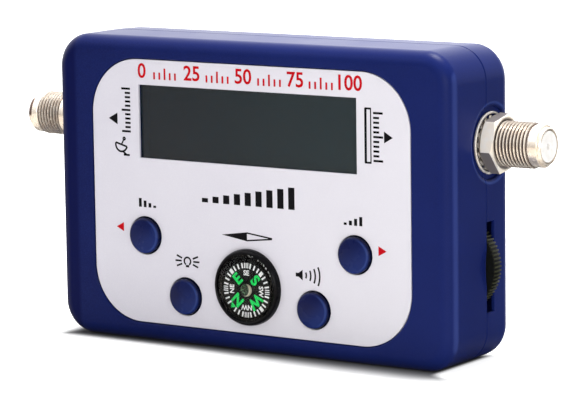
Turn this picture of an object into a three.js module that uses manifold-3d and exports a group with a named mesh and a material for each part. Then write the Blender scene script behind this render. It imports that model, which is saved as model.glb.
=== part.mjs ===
// A hand-held inline satellite signal meter, in millimetres, +Z up, front face towards -Y.
// Inside the meter group y runs from the front plane of the case to the rear, and z from its foot.
import * as THREE from "three";
import { mergeVertices } from "three/addons/utils/BufferGeometryUtils.js";
import Module from "manifold-3d";

const wasm = await Module();
wasm.setup();

// Case
const caseWidth = 98.4;
const caseHeight = 65;
const frontShellDepth = 14.1;
const rearShellDepth = 10.3;
const cornerRadius = 7;
const frontEdgeRadius = 3.1;
const rearEdgeRadius = 3;
const wall = 2.4;
const frontDraftShare = 0.006;
const rearDraftShare = 0.043;
const tongueDepth = 1.2;
const tongueWallShare = 0.33;
const innerEdgeRadius = 1;
const postInset = 6.4;
const postSetback = 0.5;
const screwBossWall = 0.8;

// Clearances
const fitGap = 0.25;
const overrun = 1;

// Facets round a full turn of a wide, a middling and a slender piece, and round a rounded corner
const fineSteps = 32;
const mediumSteps = 20;
const coarseSteps = 10;
const outlineSteps = 6;
const slenderOutlineSteps = 3;
const edgeSteps = 4;
const innerEdgeSteps = 2;
const domeOuterSteps = 4;
const domeInnerSteps = 3;

// Front panel
const labelSideMargin = 9.5;
const labelTopMargin = 4.7;
const labelFootMargin = 4.1;
const labelCornerRadius = 11.8;
const labelRecess = 0.8;
const labelThickness = 0.5;

// Display
const windowSideMargin = 22.2;
const windowHeight = 15.3;
const windowTopMargin = 10.2;
const lensThickness = 1;
const lensBorder = 1.2;
const glassBorder = 2.2;
const glassThickness = 2.5;
const displayFrameWall = 1.4;
const displayLip = 0.7;
const zebraWidth = 1.8;

// Main board
const boardSetback = 3.7;
const boardThickness = 1.6;
const boardEdgeGap = 2.2;
const boardPostRadius = 2.4;
const boardScrewSideMargin = 10.8;
const boardScrewTopMargin = 10;
const boardScrewSpanLow = 54;
const boardScrewLowZ = 7;

// Push buttons
const buttonRadius = 3.85;
const buttonSideRise = 0.3;
const buttonEdgeRadius = 0.7;
const buttonCrown = 0.25;
const buttonFlangeRadius = 4.9;
const buttonFlangeThickness = 0.8;
const buttonStemRadius = 1.6;
const buttonTravel = 0.5;
const buttonEdgeShares = [0.3, 0.7];
const attLabelInset = 13.35;
const attRowShare = 0.4241;
const lowButtonGap = 3.15;
const lowButtonZ = 10.5;

// Tact switches
const switchSide = 6;
const switchHeight = 3.1;
const plungerRadius = 1.6;
const plungerRise = 0.8;

// Compass
const compassZ = 13.9;
const compassRimLip = 0.9;
const compassRimRise = 1.5;
const compassCupRadius = 7.2;
const compassCupDepth = 5.2;
const compassCupWall = 0.6;
const domeRise = 1.5;
const domeThickness = 0.5;
const dialEdgeGap = 0.2;
const dialDomeGap = 0.15;
const dialThickness = 0.4;
const dialDrop = 0.5;
const dialHubRadius = 1.4;
const dialHubRise = 0.6;
const dialHubTopShare = 0.7;
const pivotRadius = 0.3;
const pivotTipShare = 2;
const pivotFootShare = 4;
const magnetRadius = 4.2;
const magnetThickness = 0.8;

// Thumbwheel
const wheelPostGap = 0.65;
const wheelRadius = 9.8;
const wheelThickness = 2.6;
const wheelProud = 2;
const wheelRibs = 72;
const ribDepth = 0.35;
const ribCrestShare = 0.35;
const ribFlankShare = 0.25;
const dishRadiusShare = 0.72;
const dishFloorShare = 0.7;
const slotEndGap = 1.17;
const slotWidth = 3.2;
const scoopRadius = 4.5;
const scoopDepthShare = 0.14;
const wheelAxleRadius = 1.5;
const potWallGap = 0.5;
const potWheelGap = 0.35;
const wheelScrewHeadRadius = 2.4;
const wheelScrewShankRadius = 0.9;
const wheelScrewTopShare = 0.9;

// F connectors
const connectorHeightShare = 0.7816;
const connectorSeamOffset = 2.6;
const threadRadius = 4.7;
const rightReach = 13;
const leftReach = 18.2;
const connectorInnerLength = 8;
const flangeLip = 1;
const flangeThickness = 1.2;
const innerBodyStep = 0.5;
const recessMargin = 1.5;
const recessDepthShare = 0.42;
const collarStep = 0.35;
const collarLength = 2.1;
const noseChamfer = 0.6;
const noseLength = 0.7;
const noseWall = 0.3;
const contactRadius = 0.45;
const contactBoreRadius = 0.85;
const contactSetback = 1.2;
const contactBendRadius = 1.8;
const contactReachIn = 18;
const washerLip = 0.9;
const washerRimWidth = 0.55;
const washerThickness = 0.5;
const washerTeeth = 12;
const washerToothTwist = 0.3;
const washerToothShares = { thickness: 0.6, width: 0.5 };
const nutWall = 0.8;
const nutThickness = 2.9;
const nutTurn = -0.33;

// Screws
const caseScrewHeadRadius = 2.1;
const caseScrewHeadHeight = 1.5;
const caseScrewShankRadius = 1.25;
const caseScrewLength = 12;
const caseScrewSink = 4;
const boardScrewHeadRadius = 2;
const boardScrewHeadHeight = 1.2;
const boardScrewShankRadius = 0.95;
const boardScrewLength = 5.5;
const screwTopShare = 0.8;
const screwRecessShares = { depth: 0.6, length: 1.2, width: 0.26 };

// Parts on the rear of the main board
const controllerSide = 10;
const controllerHeight = 1.6;
const controllerLegs = 5;
const controllerPlace = [-8, 14];
const amplifierSize = [5, 4];
const amplifierHeight = 1.5;
const amplifierLegs = 4;
const legShares = { standOff: 0.125, thickness: 0.5, width: 0.33, reach: 0.5 };
const regulatorSize = [6.5, 6];
const regulatorHeight = 2.3;
const regulatorTabShares = { width: 0.8, thickness: 0.2, reach: 0.5 };
const regulatorPlace = [18, 10.5];
const crystalSize = [11, 4.6];
const crystalHeight = 3.5;
const crystalRoundShare = 0.98;
const crystalBaseShare = 0.125;
const crystalCanShare = 0.9;
const crystalPlace = [5.5, 9];
const capacitorRadius = 3.15;
const capacitorHeight = 7;
const capacitorNeckShare = 0.92;
const capacitorRimShare = 0.96;
const capacitorGrooveShares = [0.12, 0.2, 0.28];
const capacitorPlaces = [
  [7, 17.5],
  [18, 19],
];
const buzzerRadius = 6;
const buzzerHeight = 8;
const buzzerPortRadius = 1;
const buzzerPortDepth = 2;
const buzzerSideMargin = 18.8;
const buzzerZ = 17;
const shieldConnectorGap = 7.8;
const shieldHeight = 20;
const shieldDepth = 7.4;
const shieldWall = 0.5;
const shieldNotch = 3.2;

// Places that follow from the sizes above
const caseDepth = frontShellDepth + rearShellDepth;
const sideX = caseWidth / 2;
const innerX = sideX - wall;
const rearInnerY = caseDepth - wall;
const labelFaceY = labelRecess - labelThickness;
const boardFront = frontShellDepth - boardSetback;
const boardRear = boardFront + boardThickness;
const windowWidth = caseWidth - 2 * windowSideMargin;
const windowZ = caseHeight - windowTopMargin - windowHeight / 2;
const windowFootZ = windowZ - windowHeight / 2;
const attX = sideX - labelSideMargin - attLabelInset;
const attZ = lowButtonZ + attRowShare * (windowFootZ - lowButtonZ);
const compassRimRadius = compassCupRadius + compassRimLip;
const lowButtonX = compassRimRadius + lowButtonGap + buttonFlangeRadius;
const postRadius = caseScrewHeadRadius + fitGap + screwBossWall;
const postX = sideX - postInset;
const postZs = [postInset, caseHeight - postInset];
const postEndY = frontShellDepth - postSetback;
const wheelX = sideX + wheelProud - wheelRadius;
const wheelZ = postInset + postRadius + wheelPostGap + wheelRadius;
const wheelFrontY = frontShellDepth + fitGap;
const slotLength = 2 * (Math.sqrt(wheelRadius ** 2 - (innerX - wheelX) ** 2) + slotEndGap);
const potRadius = innerX - wheelX - potWallGap;
const potHeight = wheelFrontY - boardRear - potWheelGap;
const connectorY = frontShellDepth + connectorSeamOffset;
const flangeRadius = threadRadius + flangeLip;
const innerBodyRadius = threadRadius - innerBodyStep;
const nutAcrossFlats = 2 * (threadRadius + nutWall);
const washerRadius = nutAcrossFlats / 2 + washerLip;
const recessRadius = washerRadius + recessMargin;
const connectorLowZ = wheelZ + slotLength / 2 + recessRadius;
const connectorHighZ = caseHeight - postInset - postRadius - recessRadius;
const connectorZ = connectorLowZ + connectorHeightShare * (connectorHighZ - connectorLowZ);
const collarRadius = threadRadius - collarStep;
const noseRadius = collarRadius - noseChamfer;
const insulatorRadius = noseRadius - noseWall - fitGap;
const shieldWidth = 2 * (innerX - connectorInnerLength - shieldConnectorGap);
const recessFloorX = sideX - wall * recessDepthShare;

const colours = {
  case: 0x27336e,
  label: 0xe2dce4,
  metal: 0xb9aea2,
  black: 0x15151a,
  board: 0x1d5a35,
  lcd: 0x31373b,
  clear: 0xdfe6ea,
  brass: 0xb08d4a,
  steel: 0x9a9ca0,
  nylon: 0xe9e7df,
};

function finish(colour, roughness, metalness = 0) {
  return new THREE.MeshStandardMaterial({ color: colour, roughness, metalness });
}

const casePlastic = () => finish(colours.case, 0.5);
const nickel = () => finish(colours.metal, 0.3, 1);
const blackPlastic = () => finish(colours.black, 0.4);
const steel = () => finish(colours.steel, 0.35, 1);
const chipResin = () => finish(colours.black, 0.6);

// Solids and geometries
function solidOf(geometry) {
  const bare = geometry.clone();
  bare.deleteAttribute("normal");
  bare.deleteAttribute("uv");
  const merged = mergeVertices(bare);
  return new wasm.Manifold(
    new wasm.Mesh({
      numProp: 3,
      vertProperties: merged.attributes.position.array,
      triVerts: new Uint32Array(merged.index.array),
    }),
  );
}

function geometryOf(solid) {
  const mesh = solid.getMesh();
  const geometry = new THREE.BufferGeometry();
  geometry.setAttribute("position", new THREE.BufferAttribute(mesh.vertProperties, 3));
  geometry.setIndex(new THREE.BufferAttribute(mesh.triVerts, 1));
  geometry.computeVertexNormals();
  return geometry;
}

function joined(...geometries) {
  return geometryOf(geometries.map(solidOf).reduce((whole, piece) => whole.add(piece)));
}

function cut(geometry, ...tools) {
  return geometryOf(tools.map(solidOf).reduce((whole, tool) => whole.subtract(tool), solidOf(geometry)));
}

function common(geometry, other) {
  return geometryOf(solidOf(geometry).intersect(solidOf(other)));
}

function moved(geometry, x, y, z) {
  return geometry.clone().translate(x, y, z);
}

// A solid of revolution about Y from pairs of radius and height, listed from low to high y outside.
function turned(profile, steps) {
  return new THREE.LatheGeometry(
    profile.map(([radius, y]) => new THREE.Vector2(radius, y)),
    steps,
  );
}

function disc(radius, fromY, toY, steps) {
  return turned(
    [
      [0, fromY],
      [radius, fromY],
      [radius, toY],
      [0, toY],
    ],
    steps,
  );
}

function sleeve(outer, inner, fromY, toY, steps) {
  return turned(
    [
      [inner, fromY],
      [outer, fromY],
      [outer, toY],
      [inner, toY],
      [inner, fromY],
    ],
    steps,
  );
}

function roundedOutline(width, height, radius) {
  const x = width / 2 - radius;
  const z = height / 2 - radius;
  const outline = new THREE.Shape();
  outline.absarc(x, z, radius, 0, Math.PI / 2);
  outline.absarc(-x, z, radius, Math.PI / 2, Math.PI);
  outline.absarc(-x, -z, radius, Math.PI, 1.5 * Math.PI);
  outline.absarc(x, -z, radius, 1.5 * Math.PI, 2 * Math.PI);
  outline.closePath();
  return outline;
}

// An upright plate: its outline lies in x and z, and its thickness runs from y 0 to the rear.
function plate(outline, thickness, curveSegments) {
  const geometry = new THREE.ExtrudeGeometry(outline, {
    depth: thickness,
    bevelEnabled: false,
    curveSegments,
  });
  geometry.rotateX(Math.PI / 2);
  return geometry.translate(0, thickness, 0);
}

function block(width, depth, height) {
  return new THREE.BoxGeometry(width, depth, height).translate(0, depth / 2, 0);
}

// Case shells: stacked rounded rectangles, each drawn in from the case outline by its own inset.
function caseRing({ y, inset, footInset }) {
  const radius = Math.max(cornerRadius - inset, innerEdgeRadius);
  const left = -sideX + inset + radius;
  const right = sideX - inset - radius;
  const top = caseHeight - inset - radius;
  const foot = footInset + radius;
  const centres = [
    [right, top],
    [left, top],
    [left, foot],
    [right, foot],
  ];
  const points = [];
  centres.forEach(([x, z], corner) => {
    for (let step = 0; step <= outlineSteps; step += 1) {
      const angle = (corner + step / outlineSteps) * (Math.PI / 2);
      points.push([x + radius * Math.cos(angle), y, z + radius * Math.sin(angle)]);
    }
  });
  return points;
}

function lofted(levels) {
  const rings = levels.map(caseRing);
  const count = rings[0].length;
  const positions = rings.flat(2);
  const faces = [];
  for (let ring = 0; ring + 1 < rings.length; ring += 1) {
    for (let i = 0; i < count; i += 1) {
      const here = ring * count + i;
      const next = ring * count + ((i + 1) % count);
      faces.push(here, here + count, next, next, here + count, next + count);
    }
  }
  const last = (rings.length - 1) * count;
  for (let i = 1; i + 1 < count; i += 1) {
    faces.push(0, i, i + 1, last, last + i + 1, last + i);
  }
  const geometry = new THREE.BufferGeometry();
  geometry.setAttribute("position", new THREE.Float32BufferAttribute(positions, 3));
  geometry.setIndex(faces);
  return geometry;
}

// Levels of a rounded edge of the given radius, starting at a face and ending on the side wall.
function edgeLevels(faceY, direction, radius, sideInset, footInset, steps) {
  const levels = [];
  for (let step = 0; step <= steps; step += 1) {
    const angle = (step / steps) * (Math.PI / 2);
    const drawnIn = radius * (1 - Math.sin(angle));
    levels.push({
      y: faceY + direction * radius * (1 - Math.cos(angle)),
      inset: sideInset + drawnIn,
      footInset: footInset + drawnIn,
    });
  }
  return levels;
}

function frontCaseBody() {
  const draft = frontDraftShare * (frontShellDepth - frontEdgeRadius);
  return lofted([
    ...edgeLevels(0, 1, frontEdgeRadius, draft, 0, edgeSteps),
    { y: frontShellDepth, inset: 0, footInset: 0 },
  ]);
}

function rearCaseBody() {
  const draft = rearDraftShare * (rearShellDepth - rearEdgeRadius);
  return lofted([
    { y: frontShellDepth, inset: 0, footInset: 0 },
    ...edgeLevels(caseDepth, -1, rearEdgeRadius, draft, 0, edgeSteps).reverse(),
  ]);
}

function frontCavity() {
  return lofted([
    ...edgeLevels(wall, 1, innerEdgeRadius, wall, wall, innerEdgeSteps),
    { y: frontShellDepth + overrun, inset: wall, footInset: wall },
  ]);
}

function rearCavity() {
  const draft = rearDraftShare * (rearShellDepth - rearEdgeRadius);
  return lofted([
    { y: frontShellDepth - tongueDepth - overrun, inset: wall, footInset: wall },
    { y: frontShellDepth, inset: wall, footInset: wall },
    ...edgeLevels(rearInnerY, -1, innerEdgeRadius, wall + draft, wall, innerEdgeSteps).reverse(),
  ]);
}

// The tongue of the rear shell, and with a gap the rebate that it enters in the front shell.
function tongueBlank(gap) {
  const inset = wall * (1 - tongueWallShare) - gap;
  const start = frontShellDepth - tongueDepth - gap;
  return lofted([
    { y: start, inset, footInset: inset },
    { y: frontShellDepth + overrun, inset, footInset: inset },
  ]);
}

function buttonPlaces() {
  return {
    att_left: [-attX, attZ],
    att_right: [attX, attZ],
    light: [-lowButtonX, lowButtonZ],
    buzzer: [lowButtonX, lowButtonZ],
  };
}

function casePosts() {
  return postZs.flatMap((z) => [
    [-postX, z],
    [postX, z],
  ]);
}

function boardPosts() {
  const highX = innerX - boardScrewSideMargin;
  return [
    [-highX, caseHeight - boardScrewTopMargin],
    [highX, caseHeight - boardScrewTopMargin],
    [-boardScrewSpanLow / 2, boardScrewLowZ],
    [boardScrewSpanLow / 2, boardScrewLowZ],
  ];
}

function labelOutline(margin) {
  const width = caseWidth - 2 * labelSideMargin + 2 * margin;
  const height = caseHeight - labelTopMargin - labelFootMargin + 2 * margin;
  return roundedOutline(width, height, labelCornerRadius + margin);
}

const labelZ = (caseHeight - labelTopMargin + labelFootMargin) / 2;

// The thumbwheel slot, a shallow finger scoop round it, and the seat of each connector.
function slotTool() {
  const tool = block(2 * wall + overrun, slotWidth + tongueDepth + fitGap, slotLength);
  return moved(tool, sideX, frontShellDepth - tongueDepth - fitGap, wheelZ);
}

function scoopTool() {
  const depth = wall * scoopDepthShare;
  const ball = (scoopRadius * scoopRadius + depth * depth) / (2 * depth);
  const tool = new THREE.SphereGeometry(ball, 2 * fineSteps, 2 * mediumSteps);
  return moved(tool, sideX + ball - depth, frontShellDepth + slotWidth / 2, wheelZ);
}

function connectorTools(side) {
  const hole = disc(threadRadius + fitGap, innerX - overrun, sideX + overrun, mediumSteps);
  const seat = disc(recessRadius, recessFloorX, sideX + overrun, fineSteps);
  return [hole, seat].map((tool) => {
    const turnedTool = tool.rotateZ(-side * (Math.PI / 2));
    return moved(turnedTool, 0, connectorY, connectorZ);
  });
}

function sideTools() {
  return [...connectorTools(1), ...connectorTools(-1)];
}

function frontShell() {
  const posts = casePosts().map(([x, z]) =>
    moved(disc(postRadius, wall / 2, postEndY, coarseSteps), x, 0, z),
  );
  const boardPillars = boardPosts().map(([x, z]) =>
    moved(disc(boardPostRadius, wall / 2, boardFront, coarseSteps), x, 0, z),
  );
  const hollow = cut(frontCaseBody(), frontCavity(), tongueBlank(fitGap));
  const screwHoles = casePosts().map(([x, z]) => {
    const start = caseDepth - caseScrewSink - caseScrewLength - fitGap;
    return moved(disc(caseScrewShankRadius + fitGap, start, frontShellDepth, coarseSteps), x, 0, z);
  });
  const boardScrewHoles = boardPosts().map(([x, z]) => {
    const start = boardRear - boardScrewLength - fitGap;
    return moved(disc(boardScrewShankRadius + fitGap, start, boardRear, coarseSteps), x, 0, z);
  });
  const labelSeat = plate(labelOutline(fitGap), labelRecess + overrun, outlineSteps);
  const window = block(windowWidth, wall + 2 * overrun, windowHeight);
  const lensWidth = windowWidth + 2 * (lensBorder + fitGap);
  const lensHeight = windowHeight + 2 * (lensBorder + fitGap);
  const lensSeat = block(lensWidth, wall, lensHeight);
  const buttonHoles = Object.values(buttonPlaces()).map(([x, z]) =>
    moved(disc(buttonRadius + fitGap, -overrun, wall + overrun, mediumSteps), x, 0, z),
  );
  const compassHole = disc(compassCupRadius + fitGap, -overrun, wall + overrun, fineSteps);
  return cut(
    joined(hollow, ...posts, ...boardPillars),
    ...screwHoles,
    ...boardScrewHoles,
    moved(labelSeat, 0, -overrun, labelZ),
    moved(window, 0, -overrun, windowZ),
    moved(lensSeat, 0, labelRecess + fitGap, windowZ),
    ...buttonHoles,
    moved(compassHole, 0, 0, compassZ),
    ...sideTools(),
    scoopTool(),
  );
}

function rearShell() {
  const tongue = tongueBlank(0);
  const bosses = casePosts().map(([x, z]) =>
    moved(disc(postRadius, postEndY + fitGap, caseDepth - wall / 2, coarseSteps), x, 0, z),
  );
  const hollow = cut(joined(rearCaseBody(), tongue), rearCavity());
  const sinkRadius = caseScrewHeadRadius + fitGap;
  const sinks = casePosts().map(([x, z]) =>
    moved(disc(sinkRadius, caseDepth - caseScrewSink, caseDepth + overrun, mediumSteps), x, 0, z),
  );
  const holes = casePosts().map(([x, z]) =>
    moved(disc(caseScrewShankRadius + fitGap, 0, caseDepth, coarseSteps), x, 0, z),
  );
  return cut(joined(hollow, ...bosses), ...sinks, ...holes, ...sideTools(), scoopTool(), slotTool());
}

function frontLabel() {
  const panel = moved(plate(labelOutline(0), labelThickness, outlineSteps), 0, labelFaceY, labelZ);
  const window = moved(block(windowWidth, wall, windowHeight), 0, 0, windowZ);
  const buttonHoles = Object.values(buttonPlaces()).map(([x, z]) =>
    moved(disc(buttonRadius + fitGap, -overrun, wall, mediumSteps), x, 0, z),
  );
  const compassHole = disc(compassCupRadius + fitGap, -overrun, wall, fineSteps);
  return cut(panel, window, ...buttonHoles, moved(compassHole, 0, 0, compassZ));
}

// Display stack, from the lens in the front shell to the board behind it
const lensFrontY = labelRecess + fitGap;
const displayFrontY = wall + fitGap;
const glassWidth = windowWidth + 2 * glassBorder;
const glassHeight = windowHeight + 2 * glassBorder;
const glassFrontY = displayFrontY + displayLip;
const glassRearY = glassFrontY + glassThickness;
const backlightDepth = boardFront - glassRearY - 2 * fitGap;

function windowLens() {
  return block(windowWidth + 2 * lensBorder, lensThickness, windowHeight + 2 * lensBorder);
}

function displayFrame() {
  const width = glassWidth + 2 * (displayFrameWall + fitGap);
  const height = glassHeight + 2 * (displayFrameWall + fitGap);
  const depth = boardFront - displayFrontY;
  const inside = block(glassWidth + 2 * fitGap, depth, glassHeight + 2 * fitGap);
  const opening = block(windowWidth, depth, windowHeight);
  return cut(
    block(width, depth, height),
    moved(inside, 0, displayLip, 0),
    moved(opening, 0, -overrun, 0),
  );
}

function displayGlass() {
  const ledge = zebraWidth + fitGap;
  const front = block(glassWidth, glassThickness / 2, glassHeight);
  const rear = block(glassWidth, glassThickness, glassHeight - ledge);
  return joined(front, moved(rear, 0, 0, ledge / 2));
}

function backlight() {
  const ledge = zebraWidth + 2 * fitGap;
  const tile = block(glassWidth, backlightDepth, glassHeight - ledge);
  return moved(tile, 0, 0, ledge / 2);
}

function zebraStrip() {
  const depth = boardFront - glassFrontY - glassThickness / 2 - 2 * fitGap;
  return block(windowWidth, depth, zebraWidth);
}

// Main board with a notch at each corner for the case posts, one at each side for the body of a
// connector, and its screw holes
function mainBoard() {
  const width = 2 * (innerX - boardEdgeGap);
  const height = caseHeight - 2 * (wall + boardEdgeGap);
  const panel = moved(block(width, boardThickness, height), 0, boardFront, caseHeight / 2);
  const notchReach = postInset + postRadius + 2 * fitGap;
  const notches = casePosts().map(([x, z]) => {
    const cornerZ = z > caseHeight / 2 ? caseHeight : 0;
    return moved(block(2 * notchReach, caseDepth, 2 * notchReach), Math.sign(x) * sideX, 0, cornerZ);
  });
  const bodyReach = 2 * (wall + connectorInnerLength + fitGap);
  const bodyNotches = [-sideX, sideX].map((x) =>
    moved(block(bodyReach, caseDepth, 2 * (innerBodyRadius + fitGap)), x, 0, connectorZ),
  );
  const holes = boardPosts().map(([x, z]) =>
    moved(disc(boardScrewShankRadius + fitGap, 0, caseDepth, coarseSteps), x, 0, z),
  );
  return cut(panel, ...notches, ...bodyNotches, ...holes);
}

// A chip with a row of gull-wing legs along two or four sides
function chip(width, height, thickness, legs, sides) {
  const standOff = thickness * legShares.standOff;
  const body = moved(block(width, thickness - standOff, height), 0, standOff, 0);
  const pieces = [body];
  const pitch = height / legs;
  const legReach = thickness * legShares.reach;
  const legThickness = thickness * legShares.thickness;
  for (let side = 0; side < sides; side += 1) {
    const span = side % 2 === 0 ? width : height;
    for (let leg = 0; leg < legs; leg += 1) {
      const along = (leg + 0.5 - legs / 2) * pitch;
      const arm = block(legReach, legThickness, pitch * legShares.width);
      arm.translate(span / 2 + legReach / 4, 0, along);
      pieces.push(arm.rotateY((side * 2 * Math.PI) / sides));
    }
  }
  return joined(...pieces);
}

function controller() {
  return chip(controllerSide, controllerSide, controllerHeight, controllerLegs, 4);
}

function amplifier() {
  return chip(amplifierSize[0], amplifierSize[1], amplifierHeight, amplifierLegs, 2);
}

function regulator() {
  const [width, height] = regulatorSize;
  const shares = regulatorTabShares;
  const body = block(width, regulatorHeight, height);
  const tab = block(width * shares.width, regulatorHeight * shares.thickness, height * shares.reach);
  return joined(body, moved(tab, 0, 0, height / 2));
}

function crystal() {
  const [width, height] = crystalSize;
  const radius = (height / 2) * crystalRoundShare;
  const outline = roundedOutline(width, height, radius);
  const canSizes = [width, height, radius].map((size) => size * crystalCanShare);
  const base = plate(outline, crystalHeight * crystalBaseShare, slenderOutlineSteps);
  return joined(base, plate(roundedOutline(...canSizes), crystalHeight, slenderOutlineSteps));
}

function capacitor() {
  const neck = capacitorRadius * capacitorNeckShare;
  const groove = capacitorGrooveShares.map((share) => capacitorHeight * share);
  return turned(
    [
      [0, 0],
      [capacitorRadius, 0],
      [capacitorRadius, groove[0]],
      [neck, groove[1]],
      [capacitorRadius, groove[2]],
      [capacitorRadius, capacitorHeight * capacitorRimShare],
      [neck, capacitorHeight],
      [0, capacitorHeight],
    ],
    coarseSteps,
  );
}

function buzzer() {
  const port = buzzerHeight - buzzerPortDepth;
  return turned(
    [
      [0, 0],
      [buzzerRadius, 0],
      [buzzerRadius, buzzerHeight],
      [buzzerPortRadius, buzzerHeight],
      [buzzerPortRadius, port],
      [0, port],
    ],
    mediumSteps,
  );
}

function shieldCan() {
  const inside = block(shieldWidth - 2 * shieldWall, shieldDepth, shieldHeight - 2 * shieldWall);
  const reach = connectorY - boardRear + shieldNotch / 2;
  const notch = block(shieldWidth + 2 * overrun, reach + overrun, shieldNotch);
  return cut(
    block(shieldWidth, shieldDepth, shieldHeight),
    moved(inside, 0, -shieldWall, 0),
    moved(notch, 0, -overrun, 0),
  );
}

// Push buttons and the tact switches behind them
function buttonCap() {
  const shoulder = labelFaceY - buttonSideRise;
  const edgeTop = shoulder - buttonEdgeRadius;
  const [inShare, upShare] = buttonEdgeShares;
  const flangeFront = wall + fitGap;
  const flangeRear = flangeFront + buttonFlangeThickness;
  const stemEnd = boardFront - switchHeight - plungerRise - fitGap;
  return turned(
    [
      [0, edgeTop - buttonCrown],
      [buttonRadius - buttonEdgeRadius, edgeTop],
      [buttonRadius - buttonEdgeRadius * inShare, shoulder - buttonEdgeRadius * upShare],
      [buttonRadius, shoulder],
      [buttonRadius, flangeFront],
      [buttonFlangeRadius, flangeFront],
      [buttonFlangeRadius, flangeRear],
      [buttonStemRadius, flangeRear],
      [buttonStemRadius, stemEnd],
      [0, stemEnd],
    ],
    mediumSteps,
  );
}

function switchBody() {
  const wellDepth = buttonTravel + plungerRise + fitGap;
  const well = disc(plungerRadius + fitGap, -overrun, wellDepth, coarseSteps);
  return cut(block(switchSide, switchHeight, switchSide), well);
}

function switchPlunger() {
  return disc(plungerRadius, -plungerRise, plungerRise, coarseSteps);
}

// Compass: a cup pressed into the front shell, its rim on the label, and a clear dome over the dial
const compassBore = compassCupRadius - compassCupWall;
const domeRadius = compassCupRadius - fitGap;
const domeSeatY = -compassRimRise + domeThickness;
const dialRadius = compassBore - dialDrop - dialEdgeGap;
const dialFrontY = domeSeatY + dialDomeGap;
const dialRearY = dialFrontY + dialThickness;

function compassCase() {
  const lip = compassCupRadius;
  const floor = compassCupDepth - compassCupWall;
  return turned(
    [
      [0, floor],
      [compassBore, floor],
      [compassBore, domeSeatY],
      [lip, domeSeatY],
      [lip, -compassRimRise],
      [(lip + compassRimRadius) / 2, -compassRimRise],
      [compassRimRadius, -compassRimRise / 2],
      [compassRimRadius, 0],
      [compassCupRadius, 0],
      [compassCupRadius, compassCupDepth],
      [0, compassCupDepth],
    ],
    fineSteps,
  );
}

function domeArc(radius, edgeY, rise, steps) {
  const ball = (radius * radius + rise * rise) / (2 * rise);
  const sweep = Math.asin(radius / ball);
  const points = [];
  for (let step = 0; step <= steps; step += 1) {
    const angle = (1 - step / steps) * sweep;
    points.push([ball * Math.sin(angle), edgeY - rise + ball - ball * Math.cos(angle)]);
  }
  points[steps][0] = 0;
  return points;
}

function compassDome() {
  const flangeFront = domeSeatY - domeThickness;
  const outer = domeArc(compassBore, flangeFront, domeRise, domeOuterSteps);
  const inner = domeArc(compassBore - domeThickness, domeSeatY, domeRise, domeInnerSteps);
  return turned(
    [...outer.reverse(), [domeRadius, flangeFront], [domeRadius, domeSeatY], ...inner],
    mediumSteps,
  );
}

function compassDial() {
  const well = dialHubRadius - domeThickness / 2;
  return turned(
    [
      [0, dialFrontY - dialHubRise],
      [dialHubRadius * dialHubTopShare, dialFrontY - dialHubRise],
      [dialHubRadius, dialFrontY],
      [dialRadius, dialFrontY],
      [dialRadius, dialRearY],
      [well, dialRearY],
      [well, dialFrontY],
      [0, dialFrontY - dialHubRise / 2],
    ],
    mediumSteps,
  );
}

function compassMagnet() {
  return sleeve(magnetRadius, magnetRadius / 2, dialRearY, dialRearY + magnetThickness, mediumSteps);
}

function compassPivot() {
  const floor = compassCupDepth - compassCupWall;
  const tip = dialFrontY + fitGap;
  const footRadius = pivotRadius * pivotFootShare;
  return turned(
    [
      [0, tip],
      [pivotRadius, tip + pivotRadius * pivotTipShare],
      [pivotRadius, floor - compassCupWall],
      [footRadius, floor - compassCupWall],
      [footRadius, floor],
      [0, floor],
    ],
    coarseSteps,
  );
}

// Thumbwheel, its pot and its screw
function ribbedOutline() {
  const outline = new THREE.Shape();
  const rootRadius = wheelRadius - ribDepth;
  const corners = [
    [0, wheelRadius],
    [ribCrestShare, wheelRadius],
    [ribCrestShare + ribFlankShare, rootRadius],
  ];
  for (let rib = 0; rib < wheelRibs; rib += 1) {
    corners.forEach(([share, radius], index) => {
      const angle = ((rib + share) / wheelRibs) * 2 * Math.PI;
      const draw = rib + index === 0 ? "moveTo" : "lineTo";
      outline[draw](radius * Math.cos(angle), radius * Math.sin(angle));
    });
  }
  outline.closePath();
  return outline;
}

function thumbwheel() {
  const disk = plate(ribbedOutline(), wheelThickness, 1);
  const axleLength = wheelFrontY - boardRear - fitGap;
  const axle = disc(wheelAxleRadius, -axleLength, wheelThickness / 2, coarseSteps);
  const dishFloor = wheelThickness * dishFloorShare;
  const dish = disc(wheelRadius * dishRadiusShare, dishFloor, wheelThickness + overrun, mediumSteps);
  const bore = disc(wheelScrewShankRadius + fitGap, -axleLength / 2, wheelThickness + overrun, coarseSteps);
  return cut(joined(disk, axle), dish, bore);
}

function wheelPot() {
  const bore = wheelAxleRadius + fitGap;
  return sleeve(potRadius, bore, 0, potHeight, coarseSteps);
}

function wheelScrew() {
  const seat = wheelThickness * dishFloorShare + fitGap;
  const head = seat + wheelScrewShankRadius;
  return turned(
    [
      [0, 0],
      [wheelScrewShankRadius, 0],
      [wheelScrewShankRadius, seat],
      [wheelScrewHeadRadius, seat],
      [wheelScrewHeadRadius * wheelScrewTopShare, head],
      [0, head],
    ],
    coarseSteps,
  );
}

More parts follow.
